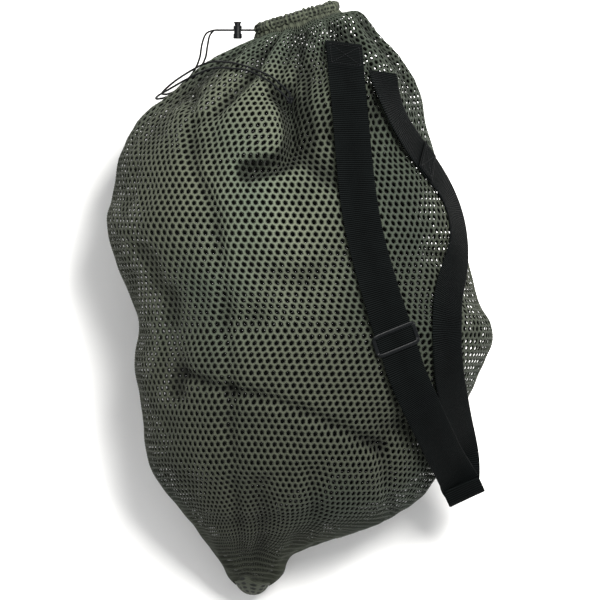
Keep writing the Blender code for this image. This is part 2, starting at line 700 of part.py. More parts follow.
def clear_edges(tree, path, faces):
    """Return the path moved out along its faces until the webbing's edges clear the bag."""
    inside = Vector((0.0, 0.0, BAG_DEPTH / 2.0))
    for _ in range(CLEARING_ROUNDS):
        ribbon = Ribbon(path, faces)
        short = np.zeros(len(path))
        for number, place in enumerate(ribbon.path):
            for share in (-0.5, -0.25, 0.0, 0.25, 0.5):
                spot = Vector(place + ribbon.across[number] * share * WEB_WIDTH
                              - ribbon.face[number] * WEB_THICKNESS / 2.0)
                found, normal, _, _ = tree.find_nearest(spot)
                outward = normal if normal.dot(found - inside) > 0.0 else -normal
                short[number] = max(short[number], EDGE_CLEARANCE - (spot - found).dot(outward))
        widest = np.array([short[max(0, k - 8):k + 9].max() for k in range(len(short))])
        even = np.convolve(np.pad(widest, 6, mode="edge"), np.full(13, 1.0 / 13.0), mode="valid")
        even = even * np.clip((ribbon.distance - sum(TURN_LEADS)) / sum(TURN_LEADS), 0.0, 1.0)
        path = ribbon.path + ribbon.face * even[:, None]
    return path


def front_ribbon(tree):
    """Return the front run's ribbon with the distances of its hinge and of its straight stretch."""
    lift = WEB_CLEARANCE + WEB_THICKNESS / 2.0
    places = []
    faces = []
    for shares in (ANCHOR_TOP, ANCHOR_FOOT) + FRONT_ROUTE:
        point, face = drape(tree, plan(shares), lift)
        places.append(point)
        faces.append(face)
    hinge = np.array(places[1])
    middle, face = drape(tree, plan(SLIDER_PLACE), 0.0)
    heading = unit(np.array((SLIDER_HEADING[0], SLIDER_HEADING[1], 0.0)))
    heading[2] = -(face[0] * heading[0] + face[1] * heading[1]) / face[2]
    heading = unit(heading)
    under = SLIDER_THICKNESS + SLIDER_CLEARANCE + WEB_THICKNESS / 2.0
    middle = middle + face * (WEB_CLEARANCE + under)
    straight = SLIDER_LENGTH + 2.0 * (SLIDER_TRAVEL + SLIDER_MARGIN)
    for reach in STRAIGHT_SHARES:
        places.append(middle + heading * straight * reach)
        faces.append(face)
    for shares in FRONT_FALL:
        places.append(place_over(shares))
        faces.append(unit(FALL_FACE))
    places.append(beside_bag(TURN_PLACE))
    faces.append(unit(FALL_FACE))
    faces[-1] = np.array((0.0, 0.0, 1.0))
    exit_way = np.array((TURN_HEADING[0], TURN_HEADING[1], 0.0))
    for reach in TURN_LEADS:
        places.insert(-1, places[-1] - exit_way * reach)
        faces.insert(-1, faces[-1])
    path = smooth_path(places, 10)
    ribbon = Ribbon(path, smooth_path(faces, 10))
    nearest = np.argmin(np.linalg.norm(path - hinge, axis=1))
    slider = np.argmin(np.linalg.norm(path - middle, axis=1))
    return ribbon, ribbon.distance[nearest], ribbon.distance[slider]


def rear_ribbon(tree):
    """Return the rear run's ribbon, from the bottom turn up to the top."""
    lift = WEB_CLEARANCE + WEB_THICKNESS / 2.0
    way = np.array((TURN_HEADING[0], TURN_HEADING[1], 0.0))
    start = beside_bag(TURN_PLACE) - np.array((0.0, 0.0, 2.0 * TURN_RADIUS))
    places = [start] + [start - way * reach for reach in reversed(TURN_LEADS)]
    faces = [np.array((0.0, 0.0, 1.0))] * len(places)
    places.append(beside_bag(REAR_RISE))
    faces.append(unit(RISE_FACE))
    for *shares, least in REAR_ROUTE:
        point, face = drape(tree, plan(shares), lift, TILT_LIMIT, least)
        places.append(point)
        faces.append(face)
    faces = smooth_path(faces, 8)
    return Ribbon(clear_edges(tree, smooth_path(places, 8), faces), faces)


def build_turn(parent):
    """Add the bottom bend of the loop, a half turn of webbing between the two runs."""
    way = np.array((TURN_HEADING[0], TURN_HEADING[1], 0.0))
    side = np.array((-way[1], way[0], 0.0))
    center = beside_bag(TURN_PLACE) - np.array((0.0, 0.0, TURN_RADIUS))
    angles = np.linspace(math.pi / 2.0, -math.pi / 2.0, 13)
    points = []
    for angle in angles:
        out = way * math.cos(angle) + np.array((0.0, 0.0, math.sin(angle)))
        for sideways, radius in ((-1, -1), (1, -1), (1, 1), (-1, 1)):
            reach = TURN_RADIUS + radius * WEB_THICKNESS / 2.0
            points.append(center + side * sideways * WEB_WIDTH / 2.0 + out * reach + way * GAP)
    faces = tube_wall(len(angles), 4, 0)
    faces.append((0, 1, 2, 3))
    last = len(points) - 4
    faces.append((last, last + 1, last + 2, last + 3))
    add_mesh("strap_bottom_turn", points, faces, "web", parent, smooth=False)


def build_slider(ribbon, middle, parent):
    """Add the three-bar slider: outer bars over the webbing, the middle bar under it."""
    place, along, across, face = ribbon.at(middle)
    carrier = add_empty("strap_slider_carrier", tuple(place), parent)
    axes = (across, along, face)
    level = WEB_THICKNESS / 2.0 + SLIDER_CLEARANCE + SLIDER_THICKNESS / 2.0
    side_at = (SLIDER_OUTER_WIDTH - SLIDER_SIDE) / 2.0
    side_height = 2.0 * level + SLIDER_THICKNESS + 0.0002
    side_size = (SLIDER_SIDE, SLIDER_LENGTH, side_height)
    frame = add_box("strap_slider", place - across * side_at, side_size, axes, "plastic", carrier)
    other = add_box("slider_side_join", place + across * side_at, side_size, axes, "plastic")
    bar_size = (SLIDER_OUTER_WIDTH - SLIDER_SIDE, SLIDER_BAR, SLIDER_THICKNESS)
    reach = (SLIDER_LENGTH - SLIDER_BAR) / 2.0 - 0.0003
    for label, shift, height in (("upper", -reach, level), ("middle", 0.0, -level), ("lower", reach, level)):
        spot = place + along * shift + face * height
        combine(frame, add_box(f"slider_{label}_bar_join", spot, bar_size, axes, "plastic"), "UNION")
    combine(frame, other, "UNION")
    return place, along


def build_strap(rows):
    """Add the strap: sewn ends on the bag, and a loop of webbing that lifts off it."""
    tree = bag_tree(rows)
    front, hinge, slider = front_ribbon(tree)
    rear = rear_ribbon(tree)
    half = WEB_THICKNESS / 2.0
    pivot = front.point(hinge, 0.0, half)
    carrier = add_empty("strap_carrier", tuple(pivot))
    add_band("strap_front_anchor", front, 0.0, hinge - GAP / 2.0, WEB_WIDTH, -half, half, "web")
    stitch_height = half + THREAD / 2.0 + LAYER_GAP
    add_stitching("front_anchor_stitching", front, 0.006, hinge - 0.006, 0.040, stitch_height)
    run_start = hinge + GAP / 2.0
    add_band("strap_front_run", front, run_start, front.length, WEB_WIDTH, -half, half, "web", carrier)
    build_turn(carrier)
    rear_end = rear.length - ANCHOR_LENGTH
    add_band("strap_rear_run", rear, 0.0, rear_end, WEB_WIDTH, -half, half, "web", carrier)
    add_band("strap_rear_anchor", rear, rear_end + 0.003, rear.length, WEB_WIDTH, -half, half, "web")
    patch = rear.length * PATCH_SHARE
    bottom = half + LAYER_GAP
    top = bottom + PATCH_THICKNESS
    add_band("strap_join_patch", rear, patch, patch + PATCH_LENGTH, WEB_WIDTH - 0.002, bottom, top,
             "web", carrier, step=0.006)
    add_stitching("join_patch_stitching", rear, patch + 0.004, patch + PATCH_LENGTH - 0.004, 0.038,
                  top + THREAD / 2.0 + LAYER_GAP, carrier)
    build_slider(front, slider, carrier)


def main():
    """Build the whole bag."""
    clear_scene()
    rows = bag_stations()
    build_bag(rows)
    build_bottom_corner(rows)
    low_end, high_end = build_hem(rows)
    build_tails(rows, low_end, high_end)
    build_lock(rows)
    build_strap(rows)


main()
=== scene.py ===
"""A filled mesh laundry bag on its back: open net, gathered mouth, drawcord with its lock, and a shoulder strap.

Metres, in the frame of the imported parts: +X is the bag's right hand side seen from the front, +Y points to
the mouth and +Z is up, away from the floor. Every piece keeps its place in its own mesh.
"""

import logging
import math
from dataclasses import dataclass, field
from enum import Enum
from typing import Sequence

import bpy
import numpy as np
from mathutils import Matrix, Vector
from mathutils.bvhtree import BVHTree


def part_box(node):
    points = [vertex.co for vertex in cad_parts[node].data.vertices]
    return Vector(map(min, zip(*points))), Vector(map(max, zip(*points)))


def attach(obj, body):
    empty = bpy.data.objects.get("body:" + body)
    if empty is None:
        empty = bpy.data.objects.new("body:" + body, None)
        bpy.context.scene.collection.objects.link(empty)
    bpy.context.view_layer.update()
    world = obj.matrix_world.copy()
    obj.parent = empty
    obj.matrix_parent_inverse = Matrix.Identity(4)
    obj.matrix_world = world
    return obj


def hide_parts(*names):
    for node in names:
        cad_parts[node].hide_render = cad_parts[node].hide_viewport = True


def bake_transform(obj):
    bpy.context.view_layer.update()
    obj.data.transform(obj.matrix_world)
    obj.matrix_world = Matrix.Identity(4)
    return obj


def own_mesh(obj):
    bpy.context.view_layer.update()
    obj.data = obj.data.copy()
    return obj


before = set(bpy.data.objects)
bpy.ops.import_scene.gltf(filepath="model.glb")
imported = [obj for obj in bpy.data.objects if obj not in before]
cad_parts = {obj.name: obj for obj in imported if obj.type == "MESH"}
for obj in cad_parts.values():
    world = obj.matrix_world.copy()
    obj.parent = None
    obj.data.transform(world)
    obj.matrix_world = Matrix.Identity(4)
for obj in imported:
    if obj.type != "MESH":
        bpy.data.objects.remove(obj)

log = logging.getLogger("laundry_bag")


TURN = 2.0 * math.pi
BLACK = (0.0, 0.0, 0.0, 1.0)


# Curves and arrays ------------------------------------------------------------------------------------


def around_once(count: int) -> np.ndarray:
    """Return count angles spread evenly round one turn."""
    return np.linspace(0.0, TURN, count, endpoint=False)


def unit(vectors: np.ndarray) -> np.ndarray:
    """Return vectors scaled to length one along their last axis."""
    vectors = np.asarray(vectors, dtype=float)
    return vectors / np.maximum(np.linalg.norm(vectors, axis=-1, keepdims=True), 1e-12)


def smooth_path(points: Sequence, samples: int) -> np.ndarray:
    """Return the Catmull-Rom curve through points.

    Between knots b and c, with a before and d after, a place t along is half of
    2b + (c - a)t + (2a - 5b + 4c - d)t^2 + (3b - a - 3c + d)t^3.

    Args:
        points: the knots, one row each.
        samples: the number of points on each stretch.

    Returns:
        The points on the curve, the last knot included.
    """
    knots = np.asarray(points, dtype=float)
    places = np.linspace(0.0, len(knots) - 1.0, samples * (len(knots) - 1) + 1)
    return curve_at(knots, places)


def curve_at(knots: np.ndarray, places: np.ndarray) -> np.ndarray:
    """Return the Catmull-Rom curve at places counted in knots, 0 at the first one.

    Args:
        knots: the knots, one row each.
        places: where to look, in knots from the first.

    Returns:
        One row for each place.
    """
    ends = np.vstack((2.0 * knots[0] - knots[1], knots, 2.0 * knots[-1] - knots[-2]))
    start = np.clip(np.floor(places).astype(int), 0, len(knots) - 2)
    t = (places - start)[:, None]
    a, b, c, d = (ends[start + shift] for shift in range(4))
    return 0.5 * (2.0 * b + (c - a) * t + (2.0 * a - 5.0 * b + 4.0 * c - d) * t**2
                  + (3.0 * b - a - 3.0 * c + d) * t**3)


def lengths_along(path: np.ndarray) -> np.ndarray:
    """Return the distance from a path's start to each of its points."""
    steps = np.linalg.norm(np.diff(path, axis=0), axis=1)
    return np.concatenate(([0.0], np.cumsum(steps)))


def resample(path: np.ndarray, count: int) -> np.ndarray:
    """Return count points spread evenly along a path."""
    along = lengths_along(path)
    wanted = np.linspace(0.0, along[-1], count)
    return np.column_stack([np.interp(wanted, along, column) for column in path.T])


def paired(first: np.ndarray, second: np.ndarray) -> np.ndarray:
    """Return two arrays, spread to one shape, as pairs on a new last axis."""
    return np.stack(np.broadcast_arrays(first, second), axis=-1)


def ring_caps(count: int, sides: int, first: int = 0) -> list[range]:
    """Return the two end faces of a tube of count rings whose points start at a number."""
    last = first + (count - 1) * sides
    return [range(first, first + sides)[::-1], range(last, last + sides)]


def smooth_step(value: np.ndarray, low: float, high: float) -> np.ndarray:
    """Return 0 below low, 1 above high, and 3t^2 - 2t^3 between them."""
    t = np.clip((value - low) / (high - low), 0.0, 1.0)
    return t * t * (3.0 - 2.0 * t)


def rounded(value: np.ndarray, power: float) -> np.ndarray:
    """Return |value|^power with the value's sign, as a rounded box needs."""
    return np.sign(value) * np.abs(value) ** power


def average_rows(table: np.ndarray, reach: int) -> np.ndarray:
    """Return a table averaged over reach rows on both sides, its end rows repeated."""
    padded = np.pad(table, ((reach, reach), (0, 0)), mode="edge")
    total = np.cumsum(np.vstack((np.zeros((1, table.shape[1])), padded)), axis=0)
    window = 2 * reach + 1
    return (total[window:] - total[:-window]) / window


def tube_frames(path: np.ndarray, closed: bool = False) -> tuple[np.ndarray, np.ndarray]:
    """Return two unit vectors across a path at each of its points, carried along without twist.

    Args:
        path: the points, one row each.
        closed: whether the path comes back to its start.

    Returns:
        The first and the second direction across the path.
    """
    ahead = np.roll(path, -1, axis=0) - np.roll(path, 1, axis=0) if closed else np.gradient(path, axis=0)
    tangents = unit(ahead)
    guide = np.array((0.0, 0.0, 1.0)) if abs(tangents[0][2]) < 0.8 else np.array((0.0, 1.0, 0.0))
    first = np.empty_like(tangents)
    for row, tangent in enumerate(tangents):
        guide = unit(guide - tangent * np.dot(guide, tangent))
        first[row] = guide
    return first, np.cross(tangents, first)


def spokes(first: np.ndarray, second: np.ndarray, angles: np.ndarray) -> np.ndarray:
    """Return cos(a) x first + sin(a) x second for every row of the two directions and every angle a."""
    return np.cos(angles)[None, :, None] * first[:, None, :] + np.sin(angles)[None, :, None] * second[:, None, :]


# Meshes -----------------------------------------------------------------------------------------------


def add_piece(name: str, points: np.ndarray, faces: np.ndarray, material: bpy.types.Material,
              uv: np.ndarray | None = None, tone: np.ndarray | None = None,
              caps: Sequence[Sequence[int]] = ()) -> bpy.types.Object:
    """Add a mesh in place, with its object at the origin.

    Args:
        name: the piece's name.
        points: its points in metres.
        faces: its quads, four indices a row.
        material: its finish.
        uv: one pair for each point, for patterns that follow the surface.
        tone: one share of the full colour for each point, which carries painted light and shade.
        caps: further faces of any number of corners.

    Returns:
        The new object.
    """
    mesh = bpy.data.meshes.new(name)
    mesh.from_pydata(points.reshape(-1, 3).tolist(), [], faces.tolist() + [list(cap) for cap in caps])
    corners = np.empty(len(mesh.loops), dtype=np.int32)
    mesh.loops.foreach_get("vertex_index", corners)
    if uv is not None:
        layer = mesh.uv_layers.new(name="lay")
        layer.data.foreach_set("uv", uv.reshape(-1, 2)[corners].astype(np.float32).ravel())
    shade = mesh.attributes.new("tone", "FLOAT", "POINT")
    values = np.ones(len(mesh.vertices)) if tone is None else tone
    shade.data.foreach_set("value", values.astype(np.float32).ravel())
    mesh.polygons.foreach_set("use_smooth", np.ones(len(mesh.polygons), dtype=bool))
    mesh.validate()
    mesh.update()
    piece = bpy.data.objects.new(name, mesh)
    bpy.context.collection.objects.link(piece)
    mesh.materials.append(material)
    return piece


def grid_faces(rows: int, columns: int, around: bool = False, along: bool = False) -> np.ndarray:
    """Return the quads of a grid of points numbered row by row.

    Args:
        rows: the number of rows of points.
        columns: the number of points in a row.
        around: whether the last column joins the first.
        along: whether the last row joins the first.

    Returns:
        Four indices for each quad.
    """
    first = np.arange(rows if along else rows - 1)[:, None]
    second = np.arange(columns if around else columns - 1)[None, :]
    ahead = (first + 1) % rows
    beside = (second + 1) % columns
    quads = (first * columns + second, first * columns + beside,
             ahead * columns + beside, ahead * columns + second)
    return np.stack([np.broadcast_to(q, (first.size, second.size)) for q in quads], axis=-1).reshape(-1, 4)


def add_tube(name: str, path: np.ndarray, radius: float | np.ndarray, sides: int,
             material: bpy.types.Material, closed: bool = False, pitch: float = 0.01) -> bpy.types.Object:
    """Add a round tube along a path: at each point a circle, radius x (cos a, sin a), across the path.

    Args:
        name: the piece's name.
        path: the line it follows.
        radius: one radius, or one for each point.
        sides: the faces round it.
        material: its finish.
        closed: whether it joins its own start.
        pitch: the length that one unit of the pattern takes along it.

    Returns:
        The new object.
    """
    first, second = tube_frames(path, closed)
    angles = around_once(sides)
    points = path[:, None, :] + np.broadcast_to(radius, len(path))[:, None, None] * spokes(first, second, angles)
    along = lengths_along(path) / pitch
    uv = paired(angles[None, :] / TURN, along[:, None])
    caps = [] if closed else ring_caps(len(path), sides)
    return add_piece(name, points, grid_faces(len(path), sides, True, closed), material, uv, caps=caps)


def dress(piece: bpy.types.Object, body: str, nodes: Sequence[str] = ()) -> bpy.types.Object:
    """Hang a piece on its body and the nodes that it stands for."""
    if body:
        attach(piece, body)
    if nodes:
        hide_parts(*nodes)
    log.info("%s rides on %s, %d faces", piece.name, body or "two bodies", len(piece.data.polygons))
    return piece


# Shader sums ------------------------------------------------------------------------------------------


class Value:
    """A number in a shader, on which Python sums add Math nodes."""

    def __init__(self, tree: "Tree", socket: bpy.types.NodeSocket) -> None:
        """Keep the tree and the socket that gives the number."""
        self.tree = tree
        self.socket = socket

    def sum_with(self, operation: str, first: object, second: object = None) -> "Value":
        """Return a Math node's result for one or two numbers or Values."""
        inputs = {0: first} if second is None else {0: first, 1: second}
        return Value(self.tree, self.tree.node("ShaderNodeMath", {"operation": operation}, inputs).outputs[0])

    def __add__(self, other: object) -> "Value":
        """Return this plus other."""
        return self.sum_with("ADD", self, other)

    def __radd__(self, other: object) -> "Value":
        """Return other plus this."""
        return self.sum_with("ADD", other, self)

    def __sub__(self, other: object) -> "Value":
        """Return this less other."""
        return self.sum_with("SUBTRACT", self, other)

    def __rsub__(self, other: object) -> "Value":
        """Return other less this."""
        return self.sum_with("SUBTRACT", other, self)

    def __mul__(self, other: object) -> "Value":
        """Return this times other."""
        return self.sum_with("MULTIPLY", self, other)

    def __rmul__(self, other: object) -> "Value":
        """Return other times this."""
        return self.sum_with("MULTIPLY", other, self)

    def wave(self, turns: float) -> "Value":
        """Return half of 1 + sin(2 pi x turns x this), from 0 to 1."""
        return self.sum_with("SINE", self * (TURN * turns)) * 0.5 + 0.5

    def clipped(self) -> "Value":
        """Return this held between 0 and 1."""
        return self.sum_with("MINIMUM", self.sum_with("MAXIMUM", self, 0.0), 1.0)


class Tree:
    """The nodes of one material."""

    def __init__(self, name: str) -> None:
        """Start a material with its Principled shader."""
        self.material = bpy.data.materials.new(name)
        self.material.use_nodes = True
        self.nodes = self.material.node_tree.nodes
        self.links = self.material.node_tree.links
        self.shader = self.nodes["Principled BSDF"]

    def node(self, kind: str, settings: dict, inputs: dict) -> bpy.types.Node:
        """Add a node.

        Args:
            kind: the node's type.
            settings: its own properties.
            inputs: a number, colour, Value or output for each socket, by name or number.

        Returns:
            The new node.
        """
        made = self.nodes.new(kind)
        for key, value in settings.items():
            setattr(made, key, value)
        self.feed(made, inputs)
        return made

    def feed(self, node: bpy.types.Node, inputs: dict) -> None:
        """Set or link a node's sockets."""
        for key, value in inputs.items():
            socket = node.inputs[key]
            if isinstance(value, Value):
                self.links.new(value.socket, socket)
            elif isinstance(value, bpy.types.NodeSocket):
                self.links.new(value, socket)
            else:
                socket.default_value = value

    def place(self) -> bpy.types.NodeSocket:
        """Return the place in the object, in metres."""
        return self.node("ShaderNodeTexCoord", {}, {}).outputs["Object"]

    def lay(self) -> tuple[Value, Value, bpy.types.NodeSocket]:
        """Return the two numbers of the piece's own map, and the map itself."""
        flat = self.node("ShaderNodeUVMap", {"uv_map": "lay"}, {}).outputs[0]
        parts = self.node("ShaderNodeSeparateXYZ", {}, {0: flat}).outputs
        return Value(self, parts[0]), Value(self, parts[1]), flat

    def tone(self) -> Value:
        """Return the piece's share of the full colour, which carries its painted light and shade."""
        return Value(self, self.node("ShaderNodeAttribute", {"attribute_name": "tone"}, {}).outputs["Fac"])

    def noise(self, scale: float, detail: float = 3.0, where: bpy.types.NodeSocket | None = None) -> Value:
        """Return soft noise from 0 to 1 with scale cells in a metre."""
        inputs = {"Vector": where or self.place(), "Scale": scale, "Detail": detail}
        return Value(self, self.node("ShaderNodeTexNoise", {}, inputs).outputs["Fac"])

    def blend(self, share: Value, low: tuple, high: tuple) -> bpy.types.NodeSocket:
        """Return a colour between two, by a share."""
        return self.mix(share, (*low, 1.0), (*high, 1.0))

    def mix(self, share: Value, low: object, high: object) -> bpy.types.NodeSocket:
        """Return a colour between two colours or outputs, by a share."""
        return self.node("ShaderNodeMix", {"data_type": "RGBA"}, {0: share, 6: low, 7: high}).outputs[2]

    def ramp(self, value: Value, low: float, high: float) -> Value:
        """Return 0 below low, 1 above high and a smooth rise between."""
        settings = {"interpolation_type": "SMOOTHSTEP"}
        inputs = {"Value": value, "From Min": low, "From Max": high}
        return Value(self, self.node("ShaderNodeMapRange", settings, inputs).outputs[0])

    def shade(self, color: bpy.types.NodeSocket, share: Value) -> bpy.types.NodeSocket:
        """Return a colour times a share."""
        return self.mix(share, BLACK, color)

    def bump(self, height: Value, depth: float) -> bpy.types.NodeSocket:
        """Return the normal of a surface raised by height times depth metres."""
        inputs = {"Height": height, "Distance": depth, "Strength": 1.0}
        return self.node("ShaderNodeBump", {}, inputs).outputs[0]

    def finish(self, constants: dict, changing: dict) -> bpy.types.Material:
        """Set the shader's plain numbers, link what changes over the surface, and return the material."""
        self.feed(self.shader, constants)
        self.feed(self.shader, changing)
        return self.material


@dataclass(frozen=True)
class NetFinish:
    """Knitted polyester net: dull green yarn with broad patches of painted cool shade, lighter in a pool of light
    painted over the front, with fine loops.
    """

    name: str = "knitted_net"
    dark: tuple = (0.040, 0.052, 0.037)
    light: tuple = (0.165, 0.178, 0.124)
    cool_shade: tuple = (0.046, 0.070, 0.053)
    loops: float = 3.0

    def make(self) -> bpy.types.Material:
        """Build the finish: two noises for colour, waves across the map for the knit."""
        tree = Tree(self.name)
        across, along, _ = tree.lay()
        patches = tree.noise(11.0, 3.0)
        fibre = tree.noise(900.0, 2.0)
        warm = tree.blend((patches * 0.6 + fibre * 0.4).clipped(), self.dark, self.light)
        # Painted shade: broad random patches blend the yarn towards a darker, cooler green.
        cool_shade_share = tree.ramp(tree.noise(3.2, 2.0), 0.42, 0.62)
        color = tree.shade(tree.mix(cool_shade_share * 0.55, warm, (*self.cool_shade, 1.0)), tree.tone())
        knit = across.wave(self.loops) * along.wave(self.loops)
        height = knit * 0.7 + fibre * 0.5
        return tree.finish({"Sheen Weight": 0.02, "Sheen Roughness": 0.5, "Specular IOR Level": 0.12},
                           {"Base Color": color, "Roughness": 0.66 + fibre * 0.2,
                            "Normal": tree.bump(height, 0.0004)})


@dataclass(frozen=True)
class SeamFinish:
    """Folded net under overlock thread, a shade darker than the net and close."""

    name: str = "folded_net"
    dark: tuple = (0.034, 0.044, 0.031)
    light: tuple = (0.130, 0.143, 0.100)
    # Painted shade in the closed holes.
    hole: tuple = (0.008, 0.011, 0.008)

    def make(self) -> bpy.types.Material:
        """Build the finish: a regular lattice of closed holes, from the distance to its nearest middle."""
        tree = Tree(self.name)
        across, along, flat = tree.lay()
        settings = {"feature": "F1", "voronoi_dimensions": "2D"}
        inputs = {"Vector": flat, "Scale": 1.0, "Randomness": 0.12}
        nearest = Value(tree, tree.node("ShaderNodeTexVoronoi", settings, inputs).outputs["Distance"])
        yarn = tree.ramp(nearest, 0.22, 0.40)
        thread = (along + across * 0.5).wave(3.0)
        mottle = tree.noise(420.0, 3.0)
        cloth = tree.blend((thread * 0.4 + mottle * 0.7).clipped(), self.dark, self.light)
        # Painted shade: the closed holes are near black, as the shade seen through the double layer of net.
        color = tree.shade(tree.mix(yarn, (*self.hole, 1.0), cloth), tree.tone())
        return tree.finish({"Sheen Weight": 0.02, "Specular IOR Level": 0.12},
                           {"Base Color": color, "Roughness": 0.72 + mottle * 0.15,
                            "Normal": tree.bump(yarn + thread * 0.3 + mottle * 0.4, 0.0007)})


@dataclass(frozen=True)
class WebFinish:
    """Ribbed polypropylene webbing: nearly black with a painted highlight of cold tint on the rib crests, ribs across
    and a fine grain along.
    """

    name: str = "ribbed_webbing"
    dark: tuple = (0.0001, 0.0002, 0.0002)
    light: tuple = (0.0046, 0.0058, 0.0060)

    def make(self) -> bpy.types.Material:
        """Build the finish: the map counts ribs along and yarns across."""
        tree = Tree(self.name)
        across, along, _ = tree.lay()
        rib = along.wave(1.0)
        yarn = across.wave(22.0)
        twill = (along * 2.0 + across * 22.0).wave(1.0)
        wear = tree.noise(60.0, 4.0)
        # Painted highlight: the rib crests are lighter in a cold tint and the valleys darker; the wear noise varies at
        # random.
        share = (rib * 1.1 + twill * 0.2 + wear * 0.5 - 0.5).clipped()
        color = tree.shade(tree.blend(share, self.dark, self.light), tree.tone())
        height = rib * 0.6 + yarn * 0.25 + twill * 0.3
        return tree.finish({"Specular IOR Level": 0.02},
                           {"Base Color": color, "Roughness": 0.62 - rib * 0.12 + wear * 0.1,
                            "Normal": tree.bump(height, 0.00045)})


@dataclass(frozen=True)
class CordFinish:
    """Braided black cord: two sets of strands that wind opposite ways."""

    name: str = "braided_cord"
    dark: tuple = (0.0006, 0.0008, 0.0009)
    light: tuple = (0.0050, 0.0058, 0.0066)

    def make(self) -> bpy.types.Material:
        """Build the finish: two slanted waves crossed, of which the higher is on top."""
        tree = Tree(self.name)
        around, along, _ = tree.lay()
        one = (around * 3.0 + along).wave(1.0)
        other = (around * 3.0 - along).wave(1.0)
        braid = one.sum_with("MAXIMUM", one, other)
        fuzz = tree.noise(1500.0, 2.0)
        color = tree.blend((braid * 0.6 + fuzz * 0.4).clipped(), self.dark, self.light)
        return tree.finish({"Specular IOR Level": 0.10},
                           {"Base Color": color, "Roughness": 0.5 + fuzz * 0.2,
                            "Normal": tree.bump(braid + fuzz * 0.3, 0.0003)})


@dataclass(frozen=True)
class PlasticFinish:
    """Moulded plastic with a fine sparked texture and worn, shinier high spots."""

    name: str = "moulded_plastic"
    dark: tuple = (0.0008, 0.0010, 0.0012)
    light: tuple = (0.0040, 0.0048, 0.0056)
    roughness: float = 0.34

    def make(self) -> bpy.types.Material:
        """Build the finish: a fine grain for bump, scuffs for roughness."""
        tree = Tree(self.name)
        grain = tree.noise(2400.0, 2.0)
        scuff = tree.noise(180.0, 5.0)
        color = tree.blend((scuff * 0.8 + grain * 0.2).clipped(), self.dark, self.light)
        return tree.finish({"Specular IOR Level": 0.10},
                           {"Base Color": color, "Roughness": self.roughness - 0.08 + scuff * 0.2,
                            "Normal": tree.bump(grain, 0.00008)})


@dataclass(frozen=True)
class SteelFinish:
    """Drawn spring wire with fine marks along it."""

    name: str = "spring_wire"
    color: tuple = (0.52, 0.52, 0.53)
    shadow: tuple = (0.30, 0.30, 0.31)

    def make(self) -> bpy.types.Material:
        """Build the finish: drawing marks change colour and roughness."""
        tree = Tree(self.name)
        marks = tree.noise(3000.0, 2.0)
        return tree.finish({"Metallic": 1.0},
                           {"Base Color": tree.blend(marks, self.shadow, self.color),
                            "Roughness": 0.22 + marks * 0.2, "Normal": tree.bump(marks, 0.00003)})


@dataclass(frozen=True)
class ThreadFinish:
    """Twisted sewing thread."""

    name: str = "twisted_thread"
    dark: tuple = (0.0010, 0.0012, 0.0014)
    light: tuple = (0.0090, 0.0100, 0.0110)

    def make(self) -> bpy.types.Material:
        """Build the finish: one slanted wave for the twist."""
        tree = Tree(self.name)
        around, along, _ = tree.lay()
        twist = (around + along).wave(1.0)
        fuzz = tree.noise(2000.0, 2.0)
        color = tree.blend((twist * 0.6 + fuzz * 0.4).clipped(), self.dark, self.light)
        return tree.finish({"Specular IOR Level": 0.12},
                           {"Base Color": color, "Roughness": 0.45 + fuzz * 0.2,
                            "Normal": tree.bump(twist, 0.0001)})


@dataclass(frozen=True)
class FloorFinish:
    """Pale studio floor with a very faint mottle."""

    name: str = "studio_floor"
    dark: tuple = (0.86, 0.86, 0.86)
    light: tuple = (0.92, 0.92, 0.92)

    def make(self) -> bpy.types.Material:
        """Build the finish: a broad noise between two near whites."""
        tree = Tree(self.name)
        mottle = tree.noise(3.0, 2.0)
        return tree.finish({"Specular IOR Level": 0.1},
                           {"Base Color": tree.blend(mottle, self.dark, self.light),
                            "Roughness": 0.85 + mottle * 0.1})


class Finish(Enum):
    """The finishes that the pieces share."""

    NET = NetFinish()
    SEAM = SeamFinish()
    WEB = WebFinish()
    CORD = CordFinish()
    PLASTIC = PlasticFinish()
    STEEL = SteelFinish()
    THREAD = ThreadFinish()
    FLOOR = FloorFinish()

    def material(self) -> bpy.types.Material:
        """Return the finish's material, made once."""
        return bpy.data.materials.get(self.value.name) or self.value.make()


# The filled bag's surface -----------------------------------------------------------------------------


